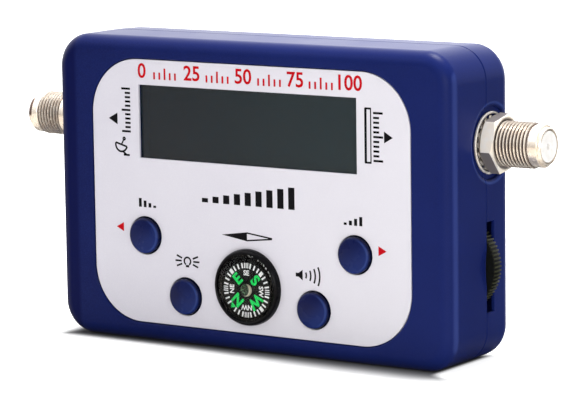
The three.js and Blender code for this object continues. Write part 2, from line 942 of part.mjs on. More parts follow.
// F connectors: each is built about Y, outwards from the inner face of the case side. The flange
// inside the case has two flats, so that it clears the rear wall.
function connectorShell(reach) {
  const wallDraft = rearDraftShare * (rearShellDepth - wall);
  const flangeOut = innerX - wallDraft - fitGap;
  const flangeIn = flangeOut - flangeThickness;
  const start = innerX - connectorInnerLength;
  const nose = sideX + reach;
  const collar = nose - noseLength;
  const threadEnd = collar - collarLength;
  const bore = insulatorRadius + fitGap;
  const barrel = turned(
    [
      [bore, start],
      [innerBodyRadius, start],
      [innerBodyRadius, flangeIn],
      [threadRadius, flangeIn],
      [threadRadius, threadEnd - collarStep],
      [collarRadius, threadEnd],
      [collarRadius, collar],
      [noseRadius, nose],
      [bore, nose],
      [bore, start],
    ],
    mediumSteps,
  );
  const flat = rearInnerY - connectorY - 2 * fitGap;
  const flats = block(2 * flat, caseWidth, 2 * flangeRadius);
  const flange = common(sleeve(flangeRadius, innerBodyRadius, flangeIn, flangeOut, mediumSteps), flats);
  return joined(barrel, flange);
}

function connectorInsulator(reach) {
  const start = innerX - connectorInnerLength;
  return sleeve(insulatorRadius, contactBoreRadius, start, sideX + reach, coarseSteps);
}

// The contact runs along the bore and bends down to the main board inside the case.
function connectorContact(reach) {
  const tip = sideX + reach - contactSetback;
  const end = innerX - contactReachIn;
  const drop = connectorY - boardRear - fitGap;
  const bend = contactBendRadius;
  const path = new THREE.CurvePath();
  path.add(new THREE.LineCurve3(new THREE.Vector3(tip, 0, 0), new THREE.Vector3(end + bend, 0, 0)));
  path.add(
    new THREE.QuadraticBezierCurve3(
      new THREE.Vector3(end + bend, 0, 0),
      new THREE.Vector3(end, 0, 0),
      new THREE.Vector3(end, -bend, 0),
    ),
  );
  path.add(new THREE.LineCurve3(new THREE.Vector3(end, -bend, 0), new THREE.Vector3(end, -drop, 0)));
  const section = new THREE.Shape();
  section.absarc(0, 0, contactRadius, 0, 2 * Math.PI);
  return new THREE.ExtrudeGeometry(section, {
    steps: coarseSteps,
    extrudePath: path,
    curveSegments: slenderOutlineSteps,
  });
}

function lockWasher() {
  const rimInner = washerRadius - washerRimWidth;
  const hole = threadRadius + fitGap;
  const rim = sleeve(washerRadius, rimInner, 0, washerThickness, mediumSteps);
  const toothLength = rimInner - hole + washerRimWidth / 2;
  const toothPitch = (2 * Math.PI * rimInner) / washerTeeth;
  const toothWidth = toothPitch * washerToothShares.width;
  const toothThickness = washerThickness * washerToothShares.thickness;
  const teeth = [];
  for (let index = 0; index < washerTeeth; index += 1) {
    const tooth = new THREE.BoxGeometry(toothLength, toothThickness, toothWidth);
    tooth.rotateX(washerToothTwist);
    tooth.translate(hole + toothLength / 2, washerThickness / 2, 0);
    teeth.push(tooth.rotateY((index / washerTeeth) * 2 * Math.PI));
  }
  return joined(rim, ...teeth);
}

function hexNut() {
  const corner = nutAcrossFlats / Math.sqrt(3);
  const chamfer = corner - nutAcrossFlats / 2;
  const hexagon = new THREE.CylinderGeometry(corner, corner, nutThickness, 6);
  const blank = hexagon.translate(0, nutThickness / 2, 0).rotateY(nutTurn);
  const rounding = turned(
    [
      [0, 0],
      [corner - chamfer / 2, 0],
      [corner, chamfer / 2],
      [corner, nutThickness - chamfer / 2],
      [corner - chamfer / 2, nutThickness],
      [0, nutThickness],
    ],
    mediumSteps,
  );
  const bore = disc(threadRadius + fitGap, -overrun, nutThickness + overrun, mediumSteps);
  return cut(common(blank, rounding), bore);
}

function screw(headRadius, headHeight, shankRadius, length) {
  const shares = screwRecessShares;
  const recess = headHeight * shares.depth;
  const recessLength = headRadius * shares.length;
  const recessWidth = headRadius * shares.width;
  const body = turned(
    [
      [0, -length],
      [shankRadius, -length + shankRadius],
      [shankRadius, 0],
      [headRadius, 0],
      [headRadius * screwTopShare, headHeight],
      [0, headHeight],
    ],
    coarseSteps,
  );
  const blade = block(recessLength, recess + overrun, recessWidth);
  const across = block(recessWidth, recess + overrun, recessLength);
  return cut(body, ...[blade, across].map((tool) => moved(tool, 0, headHeight - recess, 0)));
}

// Assembly
function piece(name, geometry, material, x, y, z) {
  const mesh = new THREE.Mesh(geometry, material);
  mesh.name = name;
  mesh.position.set(x, y, z);
  return mesh;
}

function caseGroup() {
  const group = new THREE.Group();
  group.add(
    piece("front_shell", frontShell(), casePlastic(), 0, 0, 0),
    piece("rear_shell", rearShell(), casePlastic(), 0, 0, 0),
    piece("front_label", frontLabel(), finish(colours.label, 0.5), 0, 0, 0),
  );
  const sizes = [caseScrewHeadRadius, caseScrewHeadHeight, caseScrewShankRadius, caseScrewLength];
  casePosts().forEach(([x, z], index) => {
    const geometry = screw(...sizes);
    group.add(piece(`case_screw_${index + 1}`, geometry, steel(), x, caseDepth - caseScrewSink, z));
  });
  return group;
}

function displayGroup() {
  const group = new THREE.Group();
  const zebraZ = -glassHeight / 2 + zebraWidth / 2;
  group.position.z = windowZ;
  group.add(
    piece("window_lens", windowLens(), finish(colours.clear, 0.1), 0, lensFrontY, 0),
    piece("lcd_frame", displayFrame(), blackPlastic(), 0, displayFrontY, 0),
    piece("lcd_glass", displayGlass(), finish(colours.lcd, 0.15), 0, glassFrontY, 0),
    piece("backlight", backlight(), finish(colours.clear, 0.4), 0, glassRearY + fitGap, 0),
    piece("zebra_strip", zebraStrip(), chipResin(), 0, glassFrontY + glassThickness / 2 + fitGap, zebraZ),
  );
  return group;
}

function boardGroup() {
  const group = new THREE.Group();
  const onRear = (name, geometry, material, [x, z]) =>
    group.add(piece(name, geometry, material, x, boardRear, z));
  group.add(piece("main_board", mainBoard(), finish(colours.board, 0.5), 0, 0, 0));
  onRear("microcontroller", controller(), chipResin(), controllerPlace);
  onRear("amplifier_chip", amplifier(), chipResin(), [0, connectorZ]);
  onRear("regulator", regulator(), chipResin(), regulatorPlace);
  onRear("crystal", crystal(), steel(), crystalPlace);
  capacitorPlaces.forEach((place, index) => {
    onRear(`capacitor_${index + 1}`, capacitor(), steel(), place);
  });
  onRear("buzzer", buzzer(), blackPlastic(), [buzzerSideMargin - innerX, buzzerZ]);
  onRear("rf_shield", shieldCan(), steel(), [0, connectorZ]);
  const sizes = [boardScrewHeadRadius, boardScrewHeadHeight, boardScrewShankRadius, boardScrewLength];
  boardPosts().forEach(([x, z], index) => {
    const geometry = screw(...sizes);
    onRear(`board_screw_${index + 1}`, geometry, steel(), [x, z]);
  });
  return group;
}

function buttonGroup(name, [x, z]) {
  const group = new THREE.Group();
  const switchY = boardFront - switchHeight;
  group.position.set(x, 0, z);
  group.add(
    piece(`${name}_button`, buttonCap(), casePlastic(), 0, 0, 0),
    piece(`${name}_switch_body`, switchBody(), blackPlastic(), 0, switchY, 0),
    piece(`${name}_switch_plunger`, switchPlunger(), finish(colours.nylon, 0.5), 0, switchY, 0),
  );
  return group;
}

function compassGroup() {
  const group = new THREE.Group();
  group.position.set(0, labelFaceY, compassZ);
  group.add(
    piece("compass_case", compassCase(), blackPlastic(), 0, 0, 0),
    piece("compass_dome", compassDome(), finish(colours.clear, 0.05), 0, 0, 0),
    piece("compass_pivot", compassPivot(), finish(colours.brass, 0.3, 1), 0, 0, 0),
    piece("compass_dial", compassDial(), blackPlastic(), 0, 0, -dialDrop),
    piece("compass_magnet", compassMagnet(), steel(), 0, 0, -dialDrop),
  );
  return group;
}

function wheelGroup() {
  const group = new THREE.Group();
  group.position.set(wheelX, 0, wheelZ);
  group.add(
    piece("wheel_pot_body", wheelPot(), blackPlastic(), 0, boardRear, 0),
    piece("thumbwheel", thumbwheel(), blackPlastic(), 0, wheelFrontY, 0),
    piece("thumbwheel_screw", wheelScrew(), steel(), 0, wheelFrontY, 0),
  );
  return group;
}

function connectorGroup(name, side, reach) {
  const group = new THREE.Group();
  const washerX = recessFloorX + fitGap;
  const nutX = washerX + washerThickness + 2 * fitGap;
  const outwards = (geometry) => geometry.rotateZ(-side * (Math.PI / 2));
  const insulator = outwards(connectorInsulator(reach));
  const contact = connectorContact(reach);
  group.position.set(0, connectorY, connectorZ);
  group.add(
    piece(`${name}_connector_shell`, outwards(connectorShell(reach)), nickel(), 0, 0, 0),
    piece(`${name}_connector_insulator`, insulator, finish(colours.nylon, 0.5), 0, 0, 0),
    piece(`${name}_connector_contact`, side > 0 ? contact : contact.rotateY(Math.PI), nickel(), 0, 0, 0),
    piece(`${name}_connector_washer`, outwards(lockWasher()), nickel(), side * washerX, 0, 0),
    piece(`${name}_connector_nut`, outwards(hexNut()), nickel(), side * nutX, 0, 0),
  );
  return group;
}

const meter = new THREE.Group();
meter.position.y = -caseDepth / 2;
meter.add(
  caseGroup(),
  displayGroup(),
  boardGroup(),
  compassGroup(),
  wheelGroup(),
  connectorGroup("left", -1, leftReach),
  connectorGroup("right", 1, rightReach),
);
Object.entries(buttonPlaces()).forEach(([name, place]) => meter.add(buttonGroup(name, place)));

const part = new THREE.Group();
part.add(meter);

export default part;
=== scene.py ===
"""A hand-held satellite signal meter: two moulded navy shells, a printed front panel with a display,
four push buttons, a small liquid compass, a thumbwheel, and an F connector on each side."""

import math

import bmesh
import bpy
from mathutils import Matrix, Vector


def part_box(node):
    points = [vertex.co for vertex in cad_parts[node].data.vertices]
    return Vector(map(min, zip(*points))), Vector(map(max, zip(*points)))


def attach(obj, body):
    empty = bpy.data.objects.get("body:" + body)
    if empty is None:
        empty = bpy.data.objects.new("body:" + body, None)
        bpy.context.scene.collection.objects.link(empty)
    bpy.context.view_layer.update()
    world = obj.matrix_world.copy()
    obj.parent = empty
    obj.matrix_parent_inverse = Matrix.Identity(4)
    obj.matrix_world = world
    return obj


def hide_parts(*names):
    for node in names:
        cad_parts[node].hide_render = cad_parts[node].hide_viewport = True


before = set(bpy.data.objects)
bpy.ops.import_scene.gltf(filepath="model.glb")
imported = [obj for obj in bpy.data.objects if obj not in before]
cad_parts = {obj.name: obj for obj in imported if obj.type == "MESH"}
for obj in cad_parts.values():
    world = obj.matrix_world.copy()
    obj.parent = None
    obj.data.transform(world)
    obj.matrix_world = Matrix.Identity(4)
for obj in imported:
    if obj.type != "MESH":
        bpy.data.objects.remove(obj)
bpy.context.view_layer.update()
mm = 0.001


# Viewpoint: the photograph looks at the meter from its right and a little above, through a long
# lens, and the picture is turned by less than a degree. The floor starts at the foot of the case.
camera_place = (362.8 * mm, -536.2 * mm, 126.5 * mm)
camera_azimuth = math.radians(33.90)
camera_drop = math.radians(8.494)
camera_roll = math.radians(-0.795)
sensor_width = 36
lens_length = 193.42

bpy.ops.object.camera_add(location=camera_place)
camera = bpy.context.object
camera.name = "viewpoint"
camera.rotation_euler = (
    Matrix.Rotation(camera_azimuth, 3, "Z")
    @ Matrix.Rotation(math.pi / 2 - camera_drop, 3, "X")
    @ Matrix.Rotation(camera_roll, 3, "Z")
).to_euler()
camera.data.sensor_width = sensor_width
camera.data.lens = lens_length
camera.data.clip_start = 10 * mm
bpy.context.scene.camera = camera
bpy.context.scene.view_settings.view_transform = "Standard"


# Studio: a pale floor that runs on as a white background. A broad lamp over the back whitens the
# floor and the top, a soft one at the front right lights the front, and a weak one fills the left.
class Wire:
    """What a node gives out. A sum on wires adds its Math nodes to the same tree."""

    def __init__(self, finish, socket):
        self.finish = finish
        self.socket = socket

    def work(self, operation, *values):
        return self.finish.node("Math", {"operation": operation}, dict(enumerate(values)))

    def __add__(self, other):
        return self.work("ADD", self, other)

    def __sub__(self, other):
        return self.work("SUBTRACT", self, other)

    def __rsub__(self, other):
        return self.work("SUBTRACT", other, self)

    def __mul__(self, other):
        return self.work("MULTIPLY", self, other)

    def __abs__(self):
        return self.work("ABSOLUTE", self)

    def above(self, edge):
        return self.work("GREATER_THAN", self, edge)

    def larger(self, other):
        return self.work("MAXIMUM", self, other)

    def within(self, low, high):
        """0 below low, 1 above high, and a smooth rise between them."""
        ends = {"Value": self, "From Min": low, "From Max": high}
        return self.finish.node("MapRange", {"interpolation_type": "SMOOTHSTEP"}, ends)

    def band(self, start, full, fade, end):
        """0 at start, 1 from full to fade, and 0 again at end."""
        return self.within(start, full) * (1 - self.within(fade, end))

    __radd__ = __add__
    __rmul__ = __mul__


class Finish:
    """The node tree of a new material or world. Its place is a point of the piece, and for the world
    the direction that a ray leaves in."""

    def __init__(self, name, is_world=False):
        self.owner = (bpy.data.worlds if is_world else bpy.data.materials).new(name)
        self.owner.use_nodes = True
        self.tree = self.owner.node_tree
        self.surface = self.tree.nodes["Background" if is_world else "Principled BSDF"]
        self.place = self.node("TexCoord", output="Generated" if is_world else "Object")

    def node(self, kind, settings=None, inputs=None, output=0):
        node = self.tree.nodes.new("ShaderNode" + kind)
        for name, value in (settings or {}).items():
            setattr(node, name, value)
        for name, value in (inputs or {}).items():
            self.feed(node.inputs[name], value)
        return Wire(self, node.outputs[output])

    def feed(self, socket, value):
        if isinstance(value, Wire):
            self.tree.links.new(value.socket, socket)
        else:
            socket.default_value = value

    def set(self, **inputs):
        """Values or wires for the surface shader, named in small letters with underscores."""
        for name, value in inputs.items():
            words = name.replace("ior", "IOR").split("_")
            title = " ".join(word if word.isupper() else word.capitalize() for word in words)
            self.feed(self.surface.inputs[title], value)

    def mix(self, share, first, second):
        colours = {"Factor": share, 6: first, 7: second}
        return self.node("Mix", {"data_type": "RGBA"}, colours, output=2)

    def noise(self, scale, detail, place=None):
        clouds = {"Vector": place or self.place, "Scale": scale, "Detail": detail}
        return self.node("TexNoise", inputs=clouds)

    def axes(self, letters, way=None):
        """The named coordinates of the place, or of a way from a centre."""
        parts = {"Vector": way or self.place}
        return [self.node("SeparateXYZ", inputs=parts, output=letter) for letter in letters]

    def way_from(self, centre):
        return self.node("VectorMath", {"operation": "SUBTRACT"}, {0: self.place, 1: centre})

    def stretch(self, way, shares):
        return self.node("VectorMath", {"operation": "MULTIPLY"}, {0: way, 1: shares})

    def reach(self, way, axis):
        """How far the end of a way lies from the axis through its start."""
        flat = self.stretch(way, [float(letter != axis) for letter in "XYZ"])
        return self.node("VectorMath", {"operation": "LENGTH"}, {0: flat}, "Value")

    def along(self, way, slant):
        return self.node("VectorMath", {"operation": "DOT_PRODUCT"}, {0: way, 1: slant}, "Value")

    def bump(self, strength, distance, height, under=None):
        """A relief from a height, laid over another relief if there is one."""
        relief = {"Strength": strength, "Distance": distance, "Height": height}
        if under:
            relief["Normal"] = under
        return self.node("Bump", inputs=relief)


def paint(red, green, blue):
    """A colour as it looks on a screen, from 0 to 255, turned into the shader's linear colour."""
    linear = []
    for value in (red, green, blue):
        share = value / 255
        linear.append(share / 12.92 if share < 0.04045 else ((share + 0.055) / 1.055) ** 2.4)
    return (*linear, 1)


white = paint(255, 255, 255)
room_light = 0.42
front_low = 0.25
front_high = 0.9
back_left = 2.7

room = Finish("studio_room", is_world=True)
bpy.context.scene.world = room.owner
camera_ray, clear_ray, glossy_ray = (
    room.node("LightPath", output=name)
    for name in ("Is Camera Ray", "Is Transmission Ray", "Is Glossy Ray")
)
sidewise, depthwise, upwards = room.axes("XYZ")
front_level = front_low + (front_high - front_low) * upwards.within(-0.05, 0.25)
back_level = back_left + (1 - back_left) * sidewise.within(-0.4, 0.2)
mirrored = front_level + (back_level - front_level) * depthwise.within(-0.75, 0.1)
seen = camera_ray + clear_ray
level = seen + (1 - seen) * (glossy_ray * mirrored + (1 - glossy_ray) * room_light)
room.set(color=white, strength=level)

floor_reach = 1500 * mm
bpy.ops.mesh.primitive_circle_add(vertices=96, radius=floor_reach, fill_type="NGON")
floor = bpy.context.object
floor.name = "studio_floor"
floor_paint = Finish("studio_floor_paint")
floor_seen, floor_mirrored = (
    floor_paint.node("LightPath", output=name) for name in ("Is Camera Ray", "Is Glossy Ray")
)
floor_grain = floor_paint.noise(40, 3)
floor_across, floor_depth = floor_paint.axes("XY")
shadow_left, shadow_right, shadow_front, shadow_rear = -46 * mm, 44 * mm, -12 * mm, 8 * mm
beyond_left = (shadow_left - floor_across) * 4
beyond_right = (floor_across - shadow_right) * (1.1 + 7 * floor_depth.within(-15 * mm, -10 * mm))
beyond_rear = (floor_depth - shadow_rear) * 4
beyond_front = (shadow_front - floor_depth) * (4.2 - 3 * floor_across.within(-50 * mm, 30 * mm))
beyond_case = beyond_front.larger(beyond_rear).larger(beyond_left.larger(beyond_right))
floor_glow = floor_seen * beyond_case.within(1 * mm, 17 * mm)
floor_tone = floor_paint.mix(floor_grain, paint(206, 206, 206), paint(211, 211, 211))
# Painted shadow: the floor's colour is darker close round the case.
floor_tone = floor_paint.mix(beyond_case.within(-5 * mm, 9 * mm), paint(84, 84, 88), floor_tone)
floor_rearwards = floor_depth.within(-20 * mm, 20 * mm)
floor_mirror_tone = floor_paint.mix(floor_rearwards, paint(200, 192, 182), paint(76, 75, 74))
floor_paint.set(
    base_color=floor_paint.mix(floor_mirrored, floor_tone, floor_mirror_tone),
    roughness=0.9,
    specular_ior_level=0.1,
    emission_color=floor_paint.mix(floor_glow, paint(0, 0, 0), paint(235, 235, 235)),
    emission_strength=1.0,
)
floor.data.materials.append(floor_paint.owner)

case_middle = Vector((0, 0, 32 * mm))
for name, place, width, power in (
    ("back_lamp", Vector((0.03, 0.22, 1.2)), 0.45, 27),
    ("right_lamp", Vector((0.6, -0.66, 0.2)), 0.5, 3.0),
    ("left_lamp", Vector((-0.6, -0.8, 0.9)), 0.6, 1.4),
):
    bpy.ops.object.light_add(type="AREA", location=place)
    lamp = bpy.context.object
    lamp.name = name
    lamp.data.shape = "DISK"
    lamp.data.size = width
    lamp.data.energy = power
    lamp.rotation_euler = (case_middle - place).to_track_quat("-Z", "Y").to_euler()


# Case: a front and a rear shell, injection-moulded in navy ABS with a fine satin texture. They
# meet in a hairline seam with a tongue inside, and four screws from the rear hold them together.
front_corner, seam_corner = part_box("front_shell")
rear_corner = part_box("rear_shell")[1]
front_y = front_corner.y
seam_y = seam_corner.y
rear_y = rear_corner.y
side_x = seam_corner.x
top_z = seam_corner.z
corner_radius = 7 * mm
front_edge_radius = 3.1 * mm
rear_edge_radius = 3 * mm
rear_draft = 0.31 * mm
case_wall = 2.4 * mm
seam_bevel = 0.13 * mm
tongue_inset = 1.6 * mm
tongue_depth = 1.2 * mm
inner_edge_radius = 1 * mm
fit_gap = 0.25 * mm
overrun = 1 * mm
tiny = 0.001 * mm
corner_steps = 14
edge_steps = 9


def keep(name):
    """Names the object just added and puts its place into its mesh."""
    piece = bpy.context.object
    piece.name = name
    piece.data.name = name
    bpy.ops.object.transform_apply(location=True, rotation=True, scale=True)
    return piece


def add_block(name, low, high):
    bpy.ops.object.select_all(action="DESELECT")
    centre = [(a + b) / 2 for a, b in zip(low, high)]
    size = [b - a for a, b in zip(low, high)]
    bpy.ops.mesh.primitive_cube_add(size=1, location=centre, scale=size)
    return keep(name)


def pick(piece, kind, wanted):
    """In edit mode, selects each vertex, edge or face whose corners pass the test."""
    bpy.ops.mesh.select_mode(type=kind)
    bpy.ops.mesh.select_all(action="DESELECT")
    shape = bmesh.from_edit_mesh(piece.data)
    parts = {"VERT": shape.verts, "EDGE": shape.edges, "FACE": shape.faces}[kind]
    for part in parts:
        corners = [part.co] if kind == "VERT" else [vertex.co for vertex in part.verts]
        if wanted(corners):
            part.select_set(True)
    bmesh.update_edit_mesh(piece.data)


def along_y(corners):
    return abs(corners[0].y - corners[1].y) > tiny


def at_y(y):
    return lambda corners: all(abs(corner.y - y) < tiny for corner in corners)


def round_edges(piece, wanted, radius, steps):
    bpy.ops.object.mode_set(mode="EDIT")
    pick(piece, "EDGE", wanted)
    bpy.ops.mesh.bevel(offset=radius, segments=steps, affect="EDGES")
    bpy.ops.object.mode_set(mode="OBJECT")


def add_tile(name, low, high, radius, steps=corner_steps):
    """A block whose four edges along Y are rounded."""
    piece = add_block(name, low, high)
    round_edges(piece, along_y, radius, steps)
    return piece


def draw_in_rear(piece, y):
    """Draws the sides and the top of a block in towards the rear, as the mould's draft does."""
    bpy.ops.object.mode_set(mode="EDIT")
    pick(piece, "VERT", lambda corners: corners[0].y > y - tiny)
    centre = (0, y, 0)
    narrowed = ((side_x - rear_draft) / side_x, 1, (top_z - rear_draft) / top_z)
    bpy.ops.transform.resize(value=narrowed, center_override=centre)
    bpy.ops.object.mode_set(mode="OBJECT")


def combine(piece, operation, *tools):
    """Joins other solids to a piece, or cuts them out of it, and uses them up."""
    for tool in tools:
        bpy.context.view_layer.objects.active = piece
        modifier = piece.modifiers.new(operation.lower(), "BOOLEAN")
        modifier.operation = operation
        modifier.solver = "EXACT"
        modifier.object = tool
        bpy.ops.object.modifier_apply(modifier=modifier.name)
        bpy.data.objects.remove(tool)


def turn(name, outline, place=(0, 0, 0), axis="Y", steps=64):
    """A turned solid from pairs of radius and distance along the axis, open or closed in itself.

    A ring is drawn at the first pair, extruded and resized from pair to pair, and closed."""
    along, facing = {
        "X": (Vector((1, 0, 0)), (0, math.pi / 2, 0)),
        "Y": (Vector((0, 1, 0)), (-math.pi / 2, 0, 0)),
    }[axis]
    closed = outline[0] == outline[-1]
    rings = [pair for pair in outline if pair[0] > tiny]
    radius, reach = rings[0]
    bpy.ops.object.select_all(action="DESELECT")
    start = Vector(place) + along * reach
    bpy.ops.mesh.primitive_circle_add(vertices=steps, radius=radius, location=start, rotation=facing)
    piece = keep(name)
    bpy.ops.object.mode_set(mode="EDIT")
    bpy.ops.mesh.select_mode(type="EDGE")
    if not closed:
        bpy.ops.mesh.edge_face_add()
        bpy.ops.mesh.select_all(action="SELECT")
        bpy.ops.mesh.region_to_loop()
    for next_radius, next_reach in rings[1:]:
        step = along * (next_reach - reach)
        centre = Vector(place) + along * next_reach
        bpy.ops.mesh.extrude_edges_move(TRANSFORM_OT_translate={"value": step})
        growth = next_radius / radius
        bpy.ops.transform.resize(value=(growth, growth, growth), center_override=centre)
        radius, reach = next_radius, next_reach
    if not closed:
        bpy.ops.mesh.edge_face_add()
    bpy.ops.mesh.select_all(action="SELECT")
    bpy.ops.mesh.remove_doubles(threshold=tiny)
    bpy.ops.mesh.normals_make_consistent(inside=False)
    bpy.ops.object.mode_set(mode="OBJECT")
    return piece


def arc(radius_at, reach_at, size, start, end, steps):
    """Pairs along an arc about a point of the outline, with its angles in quarter turns."""
    angles = [(start + (end - start) * step / steps) * math.pi / 2 for step in range(steps + 1)]
    return [(radius_at + size * math.cos(a), reach_at + size * math.sin(a)) for a in angles]


def rod(name, radius, start, end, place=(0, 0, 0), axis="Y", steps=48):
    return turn(name, [(radius, start), (radius, end)], place, axis, steps)


def copy_of(piece, name, move):
    """A moved copy of a piece, with its own mesh."""
    twin = piece.copy()
    twin.data = piece.data.copy()
    twin.name = twin.data.name = name
    bpy.context.collection.objects.link(twin)
    twin.data.transform(move)
    return twin


def smooth(piece, angle=35):
    """Smooth faces with crisp edges, and normals that keep the large flat faces flat."""
    bpy.ops.object.select_all(action="DESELECT")
    piece.select_set(True)
    bpy.context.view_layer.objects.active = piece
    bpy.ops.object.shade_smooth_by_angle(angle=math.radians(angle))
    modifier = piece.modifiers.new("weighted", "WEIGHTED_NORMAL")
    modifier.keep_sharp = True
    bpy.ops.object.modifier_apply(modifier=modifier.name)


def dress(piece, finish, body, slot, *nodes):
    """Gives a piece its material and its body, and hides the nodes of the frame it stands for. Its slot
    is not used.
    """
    piece.data.materials.clear()
    piece.data.materials.append(finish.owner)
    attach(piece, body)
    if nodes:
        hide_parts(*nodes)


def node_centre(node):
    low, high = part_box(node)
    return (low + high) / 2


def axis_at(place):
    """Where the axis along Y through a place meets the plane of x and z."""
    return Vector((place.x, 0, place.z))


front_shell = add_tile(
    "front_case_shell",
    (-side_x, front_y, 0),
    (side_x, seam_y, top_z),
    corner_radius,
)
round_edges(front_shell, at_y(front_y), front_edge_radius, edge_steps)
round_edges(front_shell, at_y(seam_y), seam_bevel, 2)
front_hollow = add_tile(
    "front_hollow",
    (-side_x + case_wall, front_y + case_wall, case_wall),
    (side_x - case_wall, seam_y + overrun, top_z - case_wall),
    corner_radius - case_wall,
)
round_edges(front_hollow, at_y(front_y + case_wall), inner_edge_radius, 3)
rebate_inset = tongue_inset - fit_gap
rebate = add_tile(
    "rebate",
    (-side_x + rebate_inset, seam_y - tongue_depth - fit_gap, rebate_inset),
    (side_x - rebate_inset, seam_y + overrun, top_z - rebate_inset),
    corner_radius - rebate_inset,
)
combine(front_shell, "DIFFERENCE", front_hollow, rebate)

rear_shell = add_tile(
    "rear_case_shell",
    (-side_x, seam_y, 0),
    (side_x, rear_y, top_z),
    corner_radius,
)
draw_in_rear(rear_shell, rear_y)
round_edges(rear_shell, at_y(rear_y), rear_edge_radius, edge_steps)
round_edges(rear_shell, at_y(seam_y), seam_bevel, 2)
tongue = add_tile(
    "tongue",
    (-side_x + tongue_inset, seam_y - tongue_depth, tongue_inset),
    (side_x - tongue_inset, seam_y + overrun, top_z - tongue_inset),
    corner_radius - tongue_inset,
)
rear_hollow = add_tile(
    "rear_hollow",
    (-side_x + case_wall, seam_y - tongue_depth - overrun, case_wall),
    (side_x - case_wall, rear_y - case_wall, top_z - case_wall),
    corner_radius - case_wall,
)
draw_in_rear(rear_hollow, rear_y - case_wall)
round_edges(rear_hollow, at_y(rear_y - case_wall), inner_edge_radius, 3)
combine(rear_shell, "UNION", tongue)
combine(rear_shell, "DIFFERENCE", rear_hollow)

post_inset = 6.4 * mm
post_radius = 3.15 * mm
post_end_y = seam_y - 0.5 * mm
screw_sink = 4 * mm
sink_radius = 2.35 * mm
sink_mouth_y = rear_y - 0.2 * mm
screw_hole_radius = 1.5 * mm
screw_hole_depth = 8 * mm
post_x = side_x - post_inset
post_places = [(x, z) for z in (post_inset, top_z - post_inset) for x in (-post_x, post_x)]
sink_outline = [
    (sink_radius, rear_y - screw_sink),
    (sink_radius, sink_mouth_y),
    (sink_radius + overrun, sink_mouth_y + overrun),
]
fastening = (
    (front_shell, "UNION", rod("post", post_radius, front_y + case_wall / 2, post_end_y)),
    (rear_shell, "UNION", rod("boss", post_radius, post_end_y + fit_gap, rear_y - case_wall / 2)),
    (front_shell, "DIFFERENCE", rod("hole", screw_hole_radius, post_end_y - screw_hole_depth, rear_y)),
    (rear_shell, "DIFFERENCE", rod("rear_hole", screw_hole_radius, seam_y - overrun, rear_y)),
    (rear_shell, "DIFFERENCE", turn("screw_sink", sink_outline)),
)
for x, z in post_places:
    for shell, operation, tool in fastening:
        combine(shell, operation, copy_of(tool, "tool", Matrix.Translation((x, 0, z))))
for shell, operation, tool in fastening:
    bpy.data.objects.remove(tool)


def case_plastic():
    """Navy ABS: a fine even grain from the mould, faint flow clouds and a slightly uneven gloss.
    Painted shade darkens it to the left and along the left edge, and painted highlights make it pale
    along the front's side edges, at the rear of the right side and on the rims of the connector seats."""
    plastic = Finish("case_plastic")
    across, inwards = plastic.axes("XY")
    clouds = plastic.noise(55, 3)
    grain = plastic.noise(5200, 2)
    pits = plastic.node("TexVoronoi", inputs={"Vector": plastic.place, "Scale": 3100})
    # Painted shade: most of the drift is a rise from left to right, so the navy is darker to the left.
    drift = across.within(-side_x, side_x * 0.6) * 0.7 + clouds.within(0.3, 0.7) * 0.3
    tone = plastic.mix(drift, paint(9, 20, 71), paint(19, 32, 91))
    tone = plastic.mix(grain.within(0.35, 0.7) * 0.4, tone, paint(24, 37, 99))
    # Painted shade along the left edge.
    left_edge_shade = 1 - across.within(4.6 * mm - side_x, 5.8 * mm - side_x)
    tone = plastic.mix(left_edge_shade, tone, paint(0, 9, 64))
    # Painted highlight on the rounded rear edge of the right side.
    rear_edge_highlight = inwards.within(rear_y - 3.4 * mm, rear_y - 2 * mm)
    rear_edge_highlight = rear_edge_highlight * across.within(side_x - 2.8 * mm, side_x - 1.2 * mm)
    tone = plastic.mix(rear_edge_highlight * 0.8, tone, paint(76, 83, 124))
    depth = inwards - front_y
    # Painted highlight along the rounded side edges of the front.
    lightened = depth.band(1.2 * mm, 1.9 * mm, 2.3 * mm, 3.2 * mm)
    lightened = lightened * abs(across).within(side_x - 0.9 * mm, side_x - 0.4 * mm)
    tone = plastic.mix(lightened * (0.5 + clouds * 0.3), tone, paint(52, 66, 128))
    reach = plastic.reach(plastic.way_from(node_centre("right_connector_insulator")), "X")
    # Painted highlight round the rims of the connector seats.
    seat_rim_highlight = reach.band(7.8 * mm, 8.1 * mm, 8.3 * mm, 8.6 * mm)
    seat_rim_highlight = seat_rim_highlight * abs(across).above(side_x - 0.6 * mm)
    tone = plastic.mix(seat_rim_highlight * 0.55, tone, paint(50, 70, 138))
    relief = grain * 0.7 + pits * 0.5
    bump = plastic.bump(0.35, 0.02 * mm, relief)
    step = (inwards - seam_y).within(-0.3 * mm, 0.3 * mm)
    bump = plastic.bump(1.0, 0.4 * mm, step, bump)
    plastic.set(
        base_color=tone,
        roughness=0.32 + clouds.within(0.2, 0.8) * 0.06 + grain * 0.05,
        specular_ior_level=0.07,
        normal=bump,
    )
    return plastic


navy_plastic = case_plastic()


# Front panel: a thin polycarbonate sheet, pale with a breath of violet and a fine matt grain. It
# is printed, cut out for the display, the buttons and the compass, and glued into a shallow seat.
label_corner, label_rear_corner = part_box("front_label")
label_radius = 11.8 * mm
seat_mouth = 0.15 * mm
panel_edge = 0.08 * mm
window_wall, window_left_wall, window_right_wall = 1.05 * mm, 0.65 * mm, 1.2 * mm
lens_corner, lens_rear_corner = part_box("window_lens")
window_low_x, window_low_z = lens_corner.x + window_left_wall, lens_corner.z + window_wall
window_high_x, window_high_z = lens_rear_corner.x - window_right_wall, lens_rear_corner.z - window_wall
button_names = ("att_left", "att_right", "light", "buzzer")
button_places = [node_centre(f"{name}_button") for name in button_names]
button_radius = 3.85 * mm
compass_place = node_centre("compass_case")
cup_radius = 7.2 * mm


